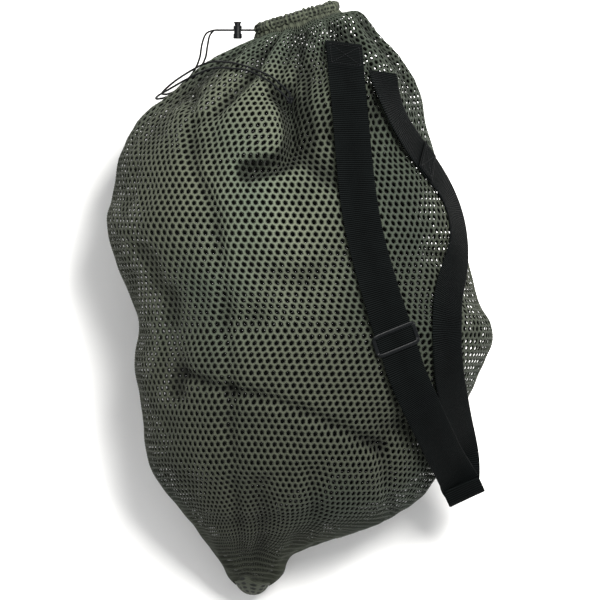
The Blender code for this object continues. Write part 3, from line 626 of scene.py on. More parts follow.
@dataclass(frozen=True)
class BagForm:
    """The bag's smooth outer surface, from oval sections along it that a flat floor cuts below.

    Each station gives the left and right end of its section as shares of half the width and length, then
    its lowest and highest point as shares of the depth.
    """

    width: float = 0.4976
    length: float = 0.7630
    depth: float = 0.330
    flat_share: float = 1.16
    widest_share: float = 0.46
    floor_blend: float = 0.06
    stations: tuple = (
        (-0.215, 0.880, 0.190, 0.960, 0.40, 0.66),
        (-0.330, 0.850, 0.320, 0.968, 0.29, 0.71),
        (-0.487, 0.800, 0.440, 0.880, 0.16, 0.78),
        (-0.641, 0.715, 0.560, 0.785, 0.06, 0.85),
        (-0.821, 0.607, 0.640, 0.671, 0.00, 0.91),
        (-0.918, 0.503, 0.680, 0.520, 0.00, 0.95),
        (-0.950, 0.362, 0.760, 0.369, 0.00, 0.975),
        (-0.995, 0.260, 0.835, 0.242, 0.00, 0.99),
        (-0.938, 0.128, 0.862, 0.128, 0.00, 1.00),
        (-0.867, 0.000, 0.920, 0.000, 0.00, 1.00),
        (-0.831, -0.117, 0.995, -0.107, 0.00, 0.985),
        (-0.846, -0.228, 0.923, -0.242, 0.00, 0.965),
        (-0.805, -0.403, 0.810, -0.419, 0.00, 0.91),
        (-0.764, -0.554, 0.718, -0.570, 0.00, 0.84),
        (-0.656, -0.671, 0.560, -0.698, 0.00, 0.73),
        (-0.538, -0.772, 0.256, -0.790, 0.00, 0.57),
        (-0.451, -0.859, -0.041, -0.862, 0.00, 0.41),
        (-0.390, -0.925, -0.100, -0.928, 0.00, 0.32),
        (-0.335, -0.965, -0.165, -0.965, 0.02, 0.24),
    )

    def rows(self, places: np.ndarray) -> np.ndarray:
        """Return sections in metres at places counted in stations, each left xy, right xy, low and high."""
        half = np.array((self.width, self.length) * 2 + (2.0 * self.depth,) * 2) / 2.0
        found = curve_at(np.asarray(self.stations) * half, np.asarray(places, dtype=float))
        found[:, 4] = np.maximum(found[:, 4], 0.0)
        return found

    def section(self, row: np.ndarray, angles: np.ndarray) -> np.ndarray:
        """Return points round sections.

        The plan point is the middle plus the half width times cos(angle). The height is the widest level
        plus, above it, its distance to the top times sin(angle), and below it a little more than its
        distance to the bottom times sin(angle), held at the bottom.

        Args:
            row: one section, or many in an array whose last axis is the six numbers.
            angles: the angles, 0 at the right end and a quarter turn at the top.

        Returns:
            The points, in metres.
        """
        middle = (row[..., 0:2] + row[..., 2:4]) / 2.0
        half = (row[..., 2:4] - row[..., 0:2]) / 2.0
        low, high = row[..., 4], row[..., 5]
        level = low + self.widest_share * (high - low)
        flat = 1.0 + (self.flat_share - 1.0) * np.clip(1.0 - low / (self.floor_blend * self.depth), 0.0, 1.0)
        sine, cosine = np.sin(angles), np.cos(angles)
        height = np.maximum(level + np.where(sine > 0.0, high - level, (level - low) * flat) * sine, low)
        return np.stack((middle[..., 0] + half[..., 0] * cosine, middle[..., 1] + half[..., 1] * cosine,
                         height), axis=-1)

    def grid(self, places: np.ndarray, angles: np.ndarray) -> tuple[np.ndarray, np.ndarray]:
        """Return points and outward unit normals for every place and angle."""
        rows = self.rows(places)[:, None, :]
        points = self.section(rows, angles[None, :])
        step = 0.02
        ahead = self.section(rows, angles[None, :] + step) - self.section(rows, angles[None, :] - step)
        return points, unit(np.cross(ahead, np.gradient(points, axis=0)))

    def plan(self, shares: Sequence[float]) -> np.ndarray:
        """Return metres in plan for shares of half the width and length."""
        return np.array((shares[0] * self.width / 2.0, shares[1] * self.length / 2.0))

    def over(self, shares: Sequence[float]) -> np.ndarray:
        """Return a point in metres for plan shares and a share of the depth."""
        return np.array((*self.plan(shares[:2]), shares[2] * self.depth))

    def tree(self, samples: int = 2, around: int = 96) -> BVHTree:
        """Return a tree of the surface for dropping things on it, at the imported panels' own stations."""
        count = len(self.stations) - 1
        points, _ = self.grid(np.linspace(0.0, count, samples * count + 1), np.linspace(0.0, TURN, around + 1))
        faces = grid_faces(points.shape[0], points.shape[1])
        return BVHTree.FromPolygons(points.reshape(-1, 3).tolist(), faces.tolist())


@dataclass(frozen=True)
class Crease:
    """A fold along a line over the front: height x exp(-(distance / width)^2), sunk where height is negative."""

    line: tuple
    width: float
    height: float

    def raised(self, plan: np.ndarray) -> np.ndarray:
        """Return how far the surface moves at each plan point, from its distance to the line."""
        path = smooth_path(self.line, 5)
        nearest = np.full(plan.shape[:-1], 1.0)
        for start, end in zip(path, path[1:]):
            way = end - start
            share = np.clip(((plan - start) @ way) / (way @ way), 0.0, 1.0)
            nearest = np.minimum(nearest, np.linalg.norm(plan - start - share[..., None] * way, axis=-1))
        return self.height * np.exp(-(nearest / self.width) ** 2)


@dataclass(frozen=True)
class Lump:
    """A rounded bump or dent over the front: height x exp(-(x / across)^2 - (y / along)^2)."""

    center: tuple
    across: float
    along: float
    height: float

    def raised(self, plan: np.ndarray) -> np.ndarray:
        """Return how far the surface moves at each plan point."""
        apart = (plan - np.array(self.center)) / np.array((self.across, self.along))
        return self.height * np.exp(-np.sum(apart**2, axis=-1))


@dataclass(frozen=True)
class Relief:
    """The bag's folds: gathers at the mouth, creases, lumps and a soft unevenness."""

    proud: float = 0.0026
    gather_depth: float = 0.0240
    gather_reach: float = 0.100
    gathers: tuple = ((11.0, 0.9, 1.0), (19.0, 2.3, 0.55), (31.0, 4.1, 0.30))
    gather_pinned: float = 0.10
    gather_sharpness: float = 0.6
    uneven: float = 0.0036
    creases: tuple = (
        Crease(((-0.138, 0.262), (-0.139, 0.188), (-0.124, 0.140), (-0.108, 0.105), (-0.098, 0.013),
                (-0.090, -0.110), (-0.086, -0.230), (-0.070, -0.360)), 0.010, -0.0060),
        Crease(((-0.090, 0.262), (-0.112, 0.238), (-0.134, 0.226)), 0.007, -0.0050),
        Crease(((-0.024, 0.262), (-0.012, 0.246), (-0.006, 0.222), (-0.006, 0.200), (-0.016, 0.182),
                (-0.038, 0.170), (-0.066, 0.164)), 0.012, -0.0330),
        Crease(((-0.006, 0.200), (0.020, 0.172), (0.060, 0.140), (0.085, 0.128)), 0.014, -0.0080),
        Crease(((0.012, 0.300), (0.010, 0.250), (0.014, 0.205)), 0.006, -0.0050),
        Crease(((0.030, 0.320), (0.030, 0.255), (0.040, 0.205)), 0.005, -0.0045),
        Crease(((-0.150, -0.095), (-0.090, -0.115), (-0.030, -0.128), (0.040, -0.158), (0.104, -0.190)),
               0.009, -0.0080),
        Crease(((0.104, -0.190), (0.112, -0.230), (0.118, -0.290)), 0.010, -0.0060),
        Crease(((-0.052, -0.236), (-0.047, -0.290), (-0.052, -0.340)), 0.014, -0.0075),
        Crease(((0.020, -0.225), (0.016, -0.270), (-0.002, -0.320)), 0.016, -0.0060),
        Crease(((0.060, 0.060), (0.010, 0.030), (-0.060, 0.040)), 0.022, -0.0050),
        Crease(((-0.200, 0.060), (-0.165, -0.020), (-0.160, -0.120)), 0.016, -0.0070),
        Crease(((0.170, 0.060), (0.205, 0.045), (0.225, 0.020)), 0.014, -0.0060),
    )
    lumps: tuple = (
        Lump((-0.004, 0.352), 0.016, 0.012, -0.0120),
        Lump((-0.060, 0.218), 0.046, 0.040, 0.0100),
        Lump((0.012, 0.215), 0.026, 0.050, -0.0120),
        Lump((0.040, -0.035), 0.030, 0.030, 0.0060),
        Lump((-0.020, -0.070), 0.060, 0.040, 0.0050),
        Lump((-0.060, -0.020), 0.034, 0.030, -0.0060),
        Lump((0.130, -0.165), 0.030, 0.022, -0.0080),
        Lump((0.060, -0.250), 0.034, 0.040, 0.0060),
    )

    def height(self, points: np.ndarray, normals: np.ndarray, share: np.ndarray, drop: np.ndarray) -> np.ndarray:
        """Return how far each surface point moves out along its normal.

        Args:
            points: the smooth surface.
            normals: its outward normals.
            share: how far round its section each point is, from 0 to 1.
            drop: how far each row is from the mouth, in metres.

        Returns:
            The sum of the folds, held to a small height above the smooth surface and faded out at the floor.
        """
        upward = smooth_step(normals[..., 2], -0.05, 0.35)
        total = sum(form.raised(points[..., :2]) for form in self.creases + self.lumps) * upward
        pinned = self.gather_pinned + (1.0 - self.gather_pinned) * smooth_step(drop, 0.0, 0.03)
        fade = np.exp(-drop / self.gather_reach) * pinned
        for count, phase, weight in self.gathers:
            drift = 0.10 * drop[:, None] * np.sin(TURN * share + phase)
            bent = share + 0.010 * np.sin(TURN * 3.0 * share + phase) + drift
            fold = 1.0 - np.abs(np.sin(math.pi * count * bent + phase)) ** self.gather_sharpness
            total = total - self.gather_depth * weight * fold * fade[:, None]
        x, y, z = np.moveaxis(points, -1, 0)
        waves = (np.sin(41.0 * x + 23.0 * y + 1.3) * np.sin(37.0 * y - 29.0 * z + 0.4)
                 + 0.6 * np.sin(83.0 * x - 61.0 * y + 2.2) * np.sin(71.0 * z + 47.0 * x)
                 + 0.35 * np.sin(131.0 * y + 97.0 * x + 0.7) * np.sin(151.0 * x - 89.0 * z))
        total = total + self.uneven * waves * smooth_step(drop, 0.02, 0.12)[:, None] * 0.6 - 0.0005
        held = np.where(total > 0.0, self.proud * np.tanh(total / self.proud), total)
        lifted = smooth_step(points[..., 2], 0.002, 0.05)
        return held * lifted


class Skin:
    """The bag's creased surface, laid out in columns round it and rows along it."""

    rows_along: int = 340
    turns: int = 720
    per_column: int = 8
    floor_gap: float = 0.0006

    def __init__(self, form: BagForm, relief: Relief, columns: int = 132, row_height: float = 0.0080) -> None:
        """Work out the surface and its even layout.

        The angle at each column comes from the length round the section, half by half, so that a column
        starts on each side seam; the row numbers come from the mean length along the bag.

        Args:
            form: the smooth surface.
            relief: its folds.
            columns: the number of net cells round the bag.
            row_height: the distance between two rows of cells.
        """
        self.columns = columns
        places = np.linspace(0.0, len(form.stations) - 1.0, self.rows_along)
        turns = self.turns
        angles = np.linspace(0.0, TURN, turns + 1)
        smooth, normals = form.grid(places, angles)
        round_it = np.concatenate((np.zeros((len(places), 1)),
                                   np.cumsum(np.linalg.norm(np.diff(smooth, axis=1), axis=2), axis=1)), axis=1)
        drop = lengths_along(smooth.mean(axis=1))
        raised = relief.height(smooth, normals, round_it / round_it[:, -1:], drop)
        creased = smooth + normals * raised[..., None]
        creased[..., 2] = np.maximum(creased[..., 2], self.floor_gap)
        steps = np.linalg.norm(np.diff(creased, axis=1), axis=2)
        self.points = np.empty((len(places), columns * self.per_column, 3))
        self.sunk = np.empty(self.points.shape[:2])
        wanted = np.linspace(0.0, 1.0, columns * self.per_column // 2, endpoint=False)
        for half in range(2):
            span = slice(half * turns // 2, (half + 1) * turns // 2)
            shares = np.concatenate((np.zeros((len(places), 1)), np.cumsum(steps[:, span], axis=1)), axis=1)
            shares = average_rows(shares / shares[:, -1:], 8)
            for row, share in enumerate(shares):
                at = half * turns / 2 + np.interp(wanted, share, np.arange(turns // 2 + 1))
                low = np.floor(at).astype(int)
                part = (at - low)[:, None]
                mixed = creased[row, low] * (1.0 - part) + creased[row, (low + 1) % (turns + 1)] * part
                here = slice(half * len(wanted), (half + 1) * len(wanted))
                self.points[row, here] = mixed
                self.sunk[row, here] = raised[row, low]
        beside = np.roll(self.points, -1, axis=1) - np.roll(self.points, 1, axis=1)
        self.normals = unit(np.cross(beside, np.gradient(self.points, axis=0)))
        self.drop = lengths_along_grid(self.points)
        self.row_count = int(round(self.drop[-1] / row_height))
        log.info("net of %d columns and %d rows over %.3f m", columns, self.row_count, self.drop[-1])

    def look_up(self, table: np.ndarray, column: np.ndarray, row: np.ndarray) -> np.ndarray:
        """Return a table's values at columns and rows counted in net cells, from the four nearest entries."""
        around = self.points.shape[1]
        u = np.asarray(column, dtype=float) / self.columns * around
        v = np.interp(np.asarray(row, dtype=float) / self.row_count * self.drop[-1], self.drop,
                      np.arange(len(self.drop)))
        left, low = np.floor(u).astype(int), np.minimum(np.floor(v).astype(int), len(self.drop) - 2)
        du, dv = u - left, v - low
        if table.ndim == 3:
            du, dv = du[..., None], dv[..., None]
        left, right = left % around, (left + 1) % around
        return ((table[low, left] * (1.0 - du) + table[low, right] * du) * (1.0 - dv)
                + (table[low + 1, left] * (1.0 - du) + table[low + 1, right] * du) * dv)

    def at(self, column: np.ndarray, row: np.ndarray, lift: float | np.ndarray = 0.0) -> np.ndarray:
        """Return points at columns and rows, lifted along the surface's normal."""
        lift = np.asarray(lift)[..., None]
        return self.look_up(self.points, column, row) + unit(self.look_up(self.normals, column, row)) * lift


def lengths_along_grid(points: np.ndarray) -> np.ndarray:
    """Return each row's mean distance from the first row of a grid of points."""
    steps = np.linalg.norm(np.diff(points, axis=0), axis=2).mean(axis=1)
    return np.concatenate(([0.0], np.cumsum(steps)))


@dataclass
class Net:
    """The knitted net of both panels: six-sided cells, each a ring of yarn round an oval hole."""

    skin: Skin
    hole_across: float = 0.255
    hole_along: float = 0.355
    ridge: float = 0.0006
    hole_edge_shade: float = 0.6
    inner_painted_shade: float = 0.03
    # Painted light: where the pool of light over the front lies, its size, and the share of colour outside it.
    lit_pool_at: tuple = (-0.05, 0.15)
    lit_pool_size: tuple = (0.115, 0.20)
    unlit_tone: float = 0.36
    fold_depth: tuple = (0.002, 0.014)
    fold_shade: float = 0.72
    floor_shade: float = 0.93
    floor_close: float = 0.66
    flank_close: float = 0.44
    steps: int = 12
    border: tuple = ((0, 4), (-1, 3), (-2, 2), (-2, 0), (-2, -2), (-1, -3),
                     (0, -4), (1, -3), (2, -2), (2, 0), (2, 2), (1, 3))

    def cells(self, name: str, first: int, last: int) -> bpy.types.Object:
        """Add the net between two columns.

        A cell's border is a hexagon, here in quarters of a column and sixths of a row, raised as the ridge
        of the yarn. Its hole is an oval round the middle, (-a sin t, b cos t), sunk a little. Cells share
        their border points, so the yarn runs on.

        Args:
            name: the piece's name.
            first: the first column.
            last: the column after the last.

        Returns:
            The new object.
        """
        skin = self.skin
        rows, columns = np.meshgrid(np.arange(skin.row_count - 1), np.arange(first, last), indexing="ij")
        center_x = 4 * columns.ravel() + 2 * (rows.ravel() % 2)
        center_y = 6 * rows.ravel() + 4
        offsets = np.array(self.border)
        grid_x = center_x[:, None] + offsets[:, 0]
        grid_y = center_y[:, None] + offsets[:, 1]
        width = 4 * (skin.columns + 4)
        keys, index = np.unique(grid_y * width + grid_x + 2, return_inverse=True)
        index = index.reshape(grid_x.shape)
        border_u = (keys % width - 2) / 4.0
        border_v = keys // width / 6.0
        turn = TURN * np.arange(self.steps) / self.steps
        middle_u, middle_v = center_x / 4.0, center_y / 6.0
        open_share = self.openness(middle_u, middle_v)[:, None]
        hole_u = (middle_u[:, None] - self.hole_across * open_share * np.sin(turn)).ravel()
        hole_v = (middle_v[:, None] + self.hole_along * open_share * np.cos(turn)).ravel()
        points = np.vstack((skin.at(border_u, border_v, self.ridge), skin.at(hole_u, hole_v, 0.0),
                            skin.at(border_u, border_v, -self.ridge)))
        points[:, 2] = np.maximum(points[:, 2], 0.0)
        hole = len(keys) + np.arange(len(middle_u) * self.steps).reshape(-1, self.steps)
        inner = index + len(keys) + hole.size
        after = np.roll(np.arange(self.steps), -1)
        faces = np.stack((index, index[:, after], hole[:, after], hole), axis=-1).reshape(-1, 4)
        inside = np.stack((inner, hole, hole[:, after], inner[:, after]), axis=-1).reshape(-1, 4)
        faces = np.vstack((faces, inside))
        uv = np.column_stack((np.concatenate((border_u, hole_u, border_u)),
                              np.concatenate((border_v, hole_v, border_v))))
        tone = self.tone(uv[:, 0], uv[:, 1], points)
        # Painted shade: the yarn darkens towards the hole edges.
        tone[len(keys):len(keys) + hole.size] *= self.hole_edge_shade
        # Painted shade: the inner layer under each ridge is near black, as the shade inside the filled bag.
        tone[len(keys) + hole.size:] = self.inner_painted_shade
        return add_piece(name, points, faces, Finish.NET.material(), uv, tone)

    def openness(self, column: np.ndarray, row: np.ndarray) -> np.ndarray:
        """Return the holes' share of their full size: less on the flanks and least on the floor."""
        height = self.skin.look_up(self.skin.points, column, row)[:, 2]
        down = self.skin.look_up(self.skin.normals, column, row)[:, 2]
        floor = smooth_step(-down, 0.55, 0.85) * smooth_step(-height, -0.06, -0.03)
        flank = smooth_step(-down, -0.12, 0.20)
        wobble = 0.04 * np.sin(3.1 * column + 1.7 * row) * np.sin(0.37 * column - 0.53 * row)
        return (1.0 + wobble) * (1.0 - self.floor_close * floor) * (1.0 - self.flank_close * flank)

    def tone(self, column: np.ndarray, row: np.ndarray, points: np.ndarray) -> np.ndarray:
        """Return the share of full colour: painted shade in deep folds and under the bag, and a painted pool of light
        over the front that leaves the rest darker.
        """
        down = self.skin.look_up(self.skin.normals, column, row)[:, 2]
        floor = smooth_step(-down, 0.50, 0.85) * smooth_step(-points[:, 2], -0.07, -0.03)
        fold = smooth_step(-self.skin.look_up(self.skin.sunk, column, row), *self.fold_depth)
        # Painted light: full colour in a pool over the front, falling off to a darker share away from it.
        apart = (points[:, :2] - np.array(self.lit_pool_at)) / np.array(self.lit_pool_size)
        painted_light = self.unlit_tone + (1.0 - self.unlit_tone) * np.exp(-np.sum(apart**2, axis=1))
        return (1.0 - self.fold_shade * fold) * (1.0 - self.floor_shade * floor) * painted_light

    def build(self) -> None:
        """Add both panels, each half the way round from seam to seam."""
        quarter = self.skin.columns // 4
        sides = (("net_front_right", 0, "mesh_front_panel"), ("net_front_left", 1, "mesh_front_panel"),
                 ("net_back_left", 2, "mesh_back_panel"), ("net_back_right", 3, "mesh_back_panel"))
        for name, number, node in sides:
            piece = self.cells(name, number * quarter, (number + 1) * quarter)
            dress(piece, "bag", (node,))


@dataclass
class Seams:
    """The two overlocked side seams, and the drawn-in corner where the bottom seam ends."""

    skin: Skin
    width: float = 0.0075
    height: float = 0.0030
    stitch: float = 0.0032
    reach: float = 0.7
    side_tone: float = 0.42
    corner_tone: float = 0.5
    corner_length: float = 0.014

    def side(self, name: str, column: float, node: str) -> None:
        """Add one seam: a low arch across the seam line whose height follows the stitches.

        Its section is height x cos(t) above and below the skin for t across the width, and the height is
        1 + 0.18 sin(2 pi x distance / stitch).

        Args:
            name: the piece's name.
            column: the net column that it runs along.
            node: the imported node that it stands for.
        """
        count = self.skin.row_count * 6
        row = np.linspace(0.0, self.skin.row_count, count)
        line = self.skin.at(np.full(count, column), row)
        before, after = (self.skin.at(np.full(count, column + shift), row) for shift in (-self.reach, self.reach))
        beside = unit(before - after)
        out = unit(self.skin.look_up(self.skin.normals, np.full(count, column), row))
        angle = around_once(14)
        along = lengths_along(line)
        swell = 1.0 + 0.18 * np.sin(TURN * along / self.stitch)
        sideways = np.cos(angle)[None, :] * self.width / 2.0 * (1.0 + 0.08 * np.sin(170.0 * along))[:, None]
        upward = np.sin(angle)[None, :] * self.height / 2.0 * swell[:, None]
        points = line[:, None, :] + beside[:, None, :] * sideways[..., None] + out[:, None, :] * upward[..., None]
        points[..., 2] = np.maximum(points[..., 2], 0.0)
        uv = paired(angle[None, :], along[:, None] / 0.01)
        tone = np.full((count, len(angle)), self.side_tone)
        piece = add_piece(name, points, grid_faces(count, len(angle), True), Finish.SEAM.material(), uv, tone,
                          ring_caps(count, len(angle)))
        dress(piece, "bag", (node,))

    def corner(self) -> None:
        """Add the bottom corner: rings of the last section that draw in to a puckered tip.

        Ring k of n has the size (1 - k/n)^0.45 of the last section, and its edge waves in and out nine times.
        """
        rings, sides = 14, 60
        angle = around_once(sides)
        columns = angle / TURN * self.skin.columns
        lap = self.skin.at(columns, np.full(sides, self.skin.row_count - 2.0), -0.0012)
        rim = self.skin.at(columns, np.full(sides, float(self.skin.row_count)), 0.0004)
        center = rim.mean(axis=0)
        share = np.linspace(0.0, 0.985, rings)[:, None, None]
        size = (1.0 - share) ** 0.45
        pucker = 1.0 + 0.07 * np.sin(9.0 * angle)[None, :, None] * np.sqrt(share)
        points = center + (rim - center)[None] * size * pucker
        points[..., 1] -= (share * self.corner_length)[..., 0]
        points[..., 2] -= (share * 0.006)[..., 0]
        points = np.concatenate((lap[None], points))
        points[..., 2] = np.maximum(points[..., 2], 0.0)
        share = np.concatenate((share[:1] - 0.6, share))
        uv = paired(angle[None, :] * 2.0, share[..., 0] * 3.0)
        faces = grid_faces(rings + 1, sides, True)
        last = rings * sides
        piece = add_piece("bottom_corner", points, faces, Finish.SEAM.material(), uv,
                          np.full((rings + 1) * sides, self.corner_tone), [range(last, last + sides)])
        dress(piece, "bag", ("bottom_seam_corner",))

    def build(self) -> None:
        """Add the two seams and the corner."""
        self.side("side_seam_right_overlock", 0.0, "side_seam_right")
        self.side("side_seam_left_overlock", self.skin.columns / 2.0, "side_seam_left")
        self.corner()


# Mouth ------------------------------------------------------------------------------------------------


@dataclass
class Mouth:
    """The rolled hem round the mouth, bunched on its drawcord."""

    form: BagForm
    casing_radius: float = 0.0080
    seam_proud: float = 0.0010
    gap: float = 0.0004
    skin_thickness: float = 0.003
    opening: float = 16.0
    ring_scale: float = 0.98
    bunches: float = 37.0
    path: np.ndarray = field(init=False)
    exit_point: np.ndarray = field(init=False)

    def __post_init__(self) -> None:
        """Work out the hem's middle line and the point where the cord comes out."""
        row = self.form.rows(np.array([0.0]))[0]
        half = (row[2:4] - row[0:2]) / 2.0
        shift = unit(np.array((-half[1], half[0], 0.0))) * (self.casing_radius + self.seam_proud + self.gap)
        self.exit_point = self.form.section(row, np.array([math.pi]))[0] + shift
        self.exit_point[0] += self.skin_thickness / 2.0
        gap_angle = math.radians(self.opening / 2.0)
        angles = np.linspace(-math.pi + gap_angle, math.pi - gap_angle, 33)
        ring = self.form.section(row, angles)
        middle = ring.mean(axis=0)
        self.path = middle + (ring - middle) * self.ring_scale + shift

    def build(self) -> None:
        """Add the bunched hem.

        The hem's radius swells between its gathers, 0.76 + 0.13 |sin(bunches x turn / 2)|, with a finer
        wrinkle on top, and its ends draw in round the cord.
        """
        path = resample(smooth_path(self.path, 8), 420)
        turn = np.linspace(0.0, TURN, len(path))
        first, second = tube_frames(path)
        angle = around_once(28)
        swell = 0.76 + 0.13 * np.abs(np.sin(self.bunches * turn / 2.0 + 0.8 * np.sin(3.0 * turn)))
        swell = swell + 0.07 * np.sin(47.0 * turn) + 0.06 * np.sin(7.0 * turn + 1.0)
        ends = np.minimum(smooth_step(turn, -0.06, 0.30), smooth_step(TURN - turn, -0.06, 0.30))
        radius = self.casing_radius * swell * (0.42 + 0.58 * ends)
        ripple = 1.0 + 0.14 * np.sin(3.0 * angle[None, :] + 17.0 * turn[:, None]) * np.cos(9.0 * turn)[:, None]
        points = path[:, None, :] + spokes(first, second, angle) * (radius[:, None] * ripple)[..., None]
        uv = paired(angle[None, :] * 1.2, turn[:, None] * 9.0)
        # Painted shade: the hem is darker where it is pinched between its swells, in the creases of its gathers.
        tone = 0.30 + 0.40 * smooth_step(swell, 0.72, 0.98)
        tone = np.broadcast_to(tone[:, None], (len(path), len(angle))).copy()
        count, sides = len(path), len(angle)
        piece = add_piece("gathered_hem", points, grid_faces(count, sides, True), Finish.SEAM.material(), uv, tone,
                          ring_caps(count, sides))
        dress(piece, "bag", ("hem_casing",))

    def collar(self, skin: "Skin") -> None:
        """Add the pleated strip that joins the net's first cells to the hem.

        A point is foot x (1 - t) + (nearest place of the hem) x t, pushed in and out by a pleat of
        0.0014 sin(2 pi x pleats x turn) sin(pi t).

        Args:
            skin: the bag's creased surface.
        """
        count, steps = skin.columns * 3, 8
        column = np.arange(count) / 3.0
        foot = skin.at(column, np.full(count, 0.9), -0.0004)
        line = resample(smooth_path(self.path, 8), 900)
        apart = np.linalg.norm(foot[:, None, :] - line[None, :, :], axis=2)
        head = average_rows(np.vstack((line[apart.argmin(axis=1)],) * 3), 3)[count:2 * count]
        share = np.linspace(0.0, 1.0, steps)[:, None, None]
        out = unit(foot - foot.mean(axis=0))[None]
        wave = np.sin(TURN * self.bunches * column / skin.columns)
        pleat = 0.0014 * wave[None, :, None]
        points = foot[None] * (1.0 - share) + head[None] * share + out * pleat * np.sin(math.pi * share)
        uv = paired(column[None, :], share[..., 0] * 1.4)
        # Painted light and shade on the pleats: lighter where a pleat stands out, darker where it folds in.
        tone = np.broadcast_to(0.45 + 0.1 * wave[None, :], (steps, count)).copy()
        faces = grid_faces(steps, count, True)[:, ::-1]
        piece = add_piece("mouth_collar", points, faces, Finish.SEAM.material(), uv, tone)
        dress(piece, "bag")


# Drawcord and lock ------------------------------------------------------------------------------------


@dataclass
class Drawcord:
    """Two tails from the hem through the lock and down into a fold, tied together at their ends."""

    mouth: Mouth
    radius: float = 0.0013
    spacing: float = 0.0033
    lock_run: float = 0.053
    knot_place: tuple = (-0.0125, 0.2520, 0.3045)
    knot_radius: float = 0.0052
    pitch: float = 0.0042
    upper: tuple = (
        (-0.1150, 0.3385, 0.1690), (-0.1185, 0.3255, 0.1460), (-0.1215, 0.3110, 0.1160),
        (-0.1290, 0.2980, 0.0930), (-0.1400, 0.2850, 0.0830), (-0.1530, 0.2735, 0.0850),
        (-0.1670, 0.2660, 0.1000), (-0.1760, 0.2640, 0.1350), (-0.1735, 0.2680, 0.1680),
        (-0.1585, 0.2800, 0.1850), (-0.1400, 0.2915, 0.1960), (-0.1230, 0.3000, 0.2080),
        (-0.1080, 0.3030, 0.2220), (-0.0870, 0.3010, 0.2440), (-0.0640, 0.2944, 0.2650),
        (-0.0384, 0.2830, 0.2825), (-0.0240, 0.2715, 0.2925), (-0.0140, 0.2615, 0.3005),
    )
    lower: tuple = (
        (-0.1195, 0.3410, 0.1625), (-0.1255, 0.3285, 0.1380), (-0.1290, 0.3110, 0.1090),
        (-0.1360, 0.2960, 0.0850), (-0.1460, 0.2825, 0.0750), (-0.1580, 0.2700, 0.0780),
        (-0.1730, 0.2610, 0.0940), (-0.1840, 0.2580, 0.1320), (-0.1810, 0.2610, 0.1740),
        (-0.1660, 0.2690, 0.1960), (-0.1480, 0.2790, 0.2050), (-0.1280, 0.2885, 0.2160),
        (-0.1088, 0.2944, 0.2330), (-0.0870, 0.2935, 0.2515), (-0.0640, 0.2895, 0.2695),
        (-0.0410, 0.2775, 0.2860), (-0.0290, 0.2670, 0.2960), (-0.0200, 0.2580, 0.3020),
    )

    def tail(self, side: float, route: Sequence) -> np.ndarray:
        """Return one tail's path: held straight as far as the lock slides, then its free route to the knot."""
        offset = side * self.spacing / 2.0
        reach = np.concatenate(([0.0085], np.linspace(0.0120, self.lock_run, 6)))
        run = self.mouth.exit_point + np.column_stack((-reach, 0.0 * reach, 0.0 * reach + offset))
        knot = np.array(self.knot_place)
        end = knot + unit(np.array(route[-1]) - knot) * self.knot_radius * 0.8
        path = resample(smooth_path(np.vstack((run, route, end)), 12), 420)
        held = 1.0 - smooth_step(lengths_along(path) + reach[0], self.lock_run - 0.0018, self.lock_run + 0.0070)
        path[:, 1:] = path[:, 1:] * (1.0 - held[:, None]) + run[0, 1:] * held[:, None]
        return path

    def lead(self, loop_end: np.ndarray, side: float) -> np.ndarray:
        """Return the short turn from the hem's loop into the lock's straight run."""
        turn = np.sign(loop_end[2] - self.mouth.exit_point[2])
        offset = side * self.spacing / 2.0
        places = (loop_end, self.mouth.exit_point + np.array((-0.0008, 0.0, turn * 0.0038)),
                  self.mouth.exit_point + np.array((-0.0045, 0.0, offset * 1.3)),
                  self.mouth.exit_point + np.array((-0.0086, 0.0, offset)))
        return smooth_path(places, 10)

    def knot(self) -> bpy.types.Object:
        """Add the knot that ties both ends.

        It is the closed line (sin t + 2 sin 2t, cos t - 2 cos 2t, -1.15 sin 3t), a trefoil, drawn with the cord.
        """
        t = around_once(120)
        loop = np.column_stack((np.sin(t) + 2.0 * np.sin(2.0 * t), np.cos(t) - 2.0 * np.cos(2.0 * t),
                                -1.15 * np.sin(3.0 * t)))
        path = np.array(self.knot_place) + loop * (self.knot_radius - self.radius) / 3.0
        return add_tube("tail_knot", path, self.radius * 1.05, 12, Finish.CORD.material(), True, self.pitch)

    def build(self) -> None:
        """Add the loop in the hem, both tails and the knot."""
        cord = Finish.CORD.material()
        loop = np.vstack((self.lead(self.mouth.path[-1], 1.0)[::-1][:-1], self.mouth.path[::-1],
                          self.lead(self.mouth.path[0], -1.0)[1:]))
        loop = resample(smooth_path(loop, 3), 420)
        piece = add_tube("hem_drawcord", loop, self.radius, 10, cord, False, self.pitch)
        dress(piece, "bag", ("drawcord_in_hem",))
        knot = self.knot()
        dress(knot, "bag", ("drawcord_end_knot",))
        tails = (("drawcord_upper_tail", 1.0, self.upper, "drawcord_tail_first", [knot]),
                 ("drawcord_lower_tail", -1.0, self.lower, "drawcord_tail_second", []))
        for name, side, route, node, along in tails:
            path = self.tail(side, route)
            piece = add_tube(name, path, self.radius, 12, cord, False, self.pitch)
            dress(piece, "bag", (node,))


@dataclass
class CordLock:
    """The cord lock's barrel, plunger and spring, whose shapes stay as packed."""

    press_keep: float = 0.47
    wire: float = 0.0004
    coils: float = 4.0

    def build(self) -> None:
        """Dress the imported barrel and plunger, and add a fine spring that the plunger presses together."""
        for node in ("cord_lock_barrel", "cord_lock_plunger"):
            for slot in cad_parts[node].material_slots:
                slot.material = Finish.PLASTIC.material()
        low, high = (np.array(corner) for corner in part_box("cord_lock_spring"))
        turn = np.linspace(0.0, TURN * self.coils, 200)
        radius = (high[0] - low[0]) / 2.0 - self.wire
        middle = (low + high) / 2.0
        height = np.linspace(low[1] + self.wire, high[1] - self.wire, len(turn))
        path = np.column_stack((middle[0] + radius * np.cos(turn), height, middle[2] + radius * np.sin(turn)))
        spring = add_tube("lock_spring_coil", path, self.wire, 8, Finish.STEEL.material(), pitch=0.002)
        dress(spring, "lock_barrel", ("cord_lock_spring",))
        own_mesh(spring)


# Shoulder strap ---------------------------------------------------------------------------------------


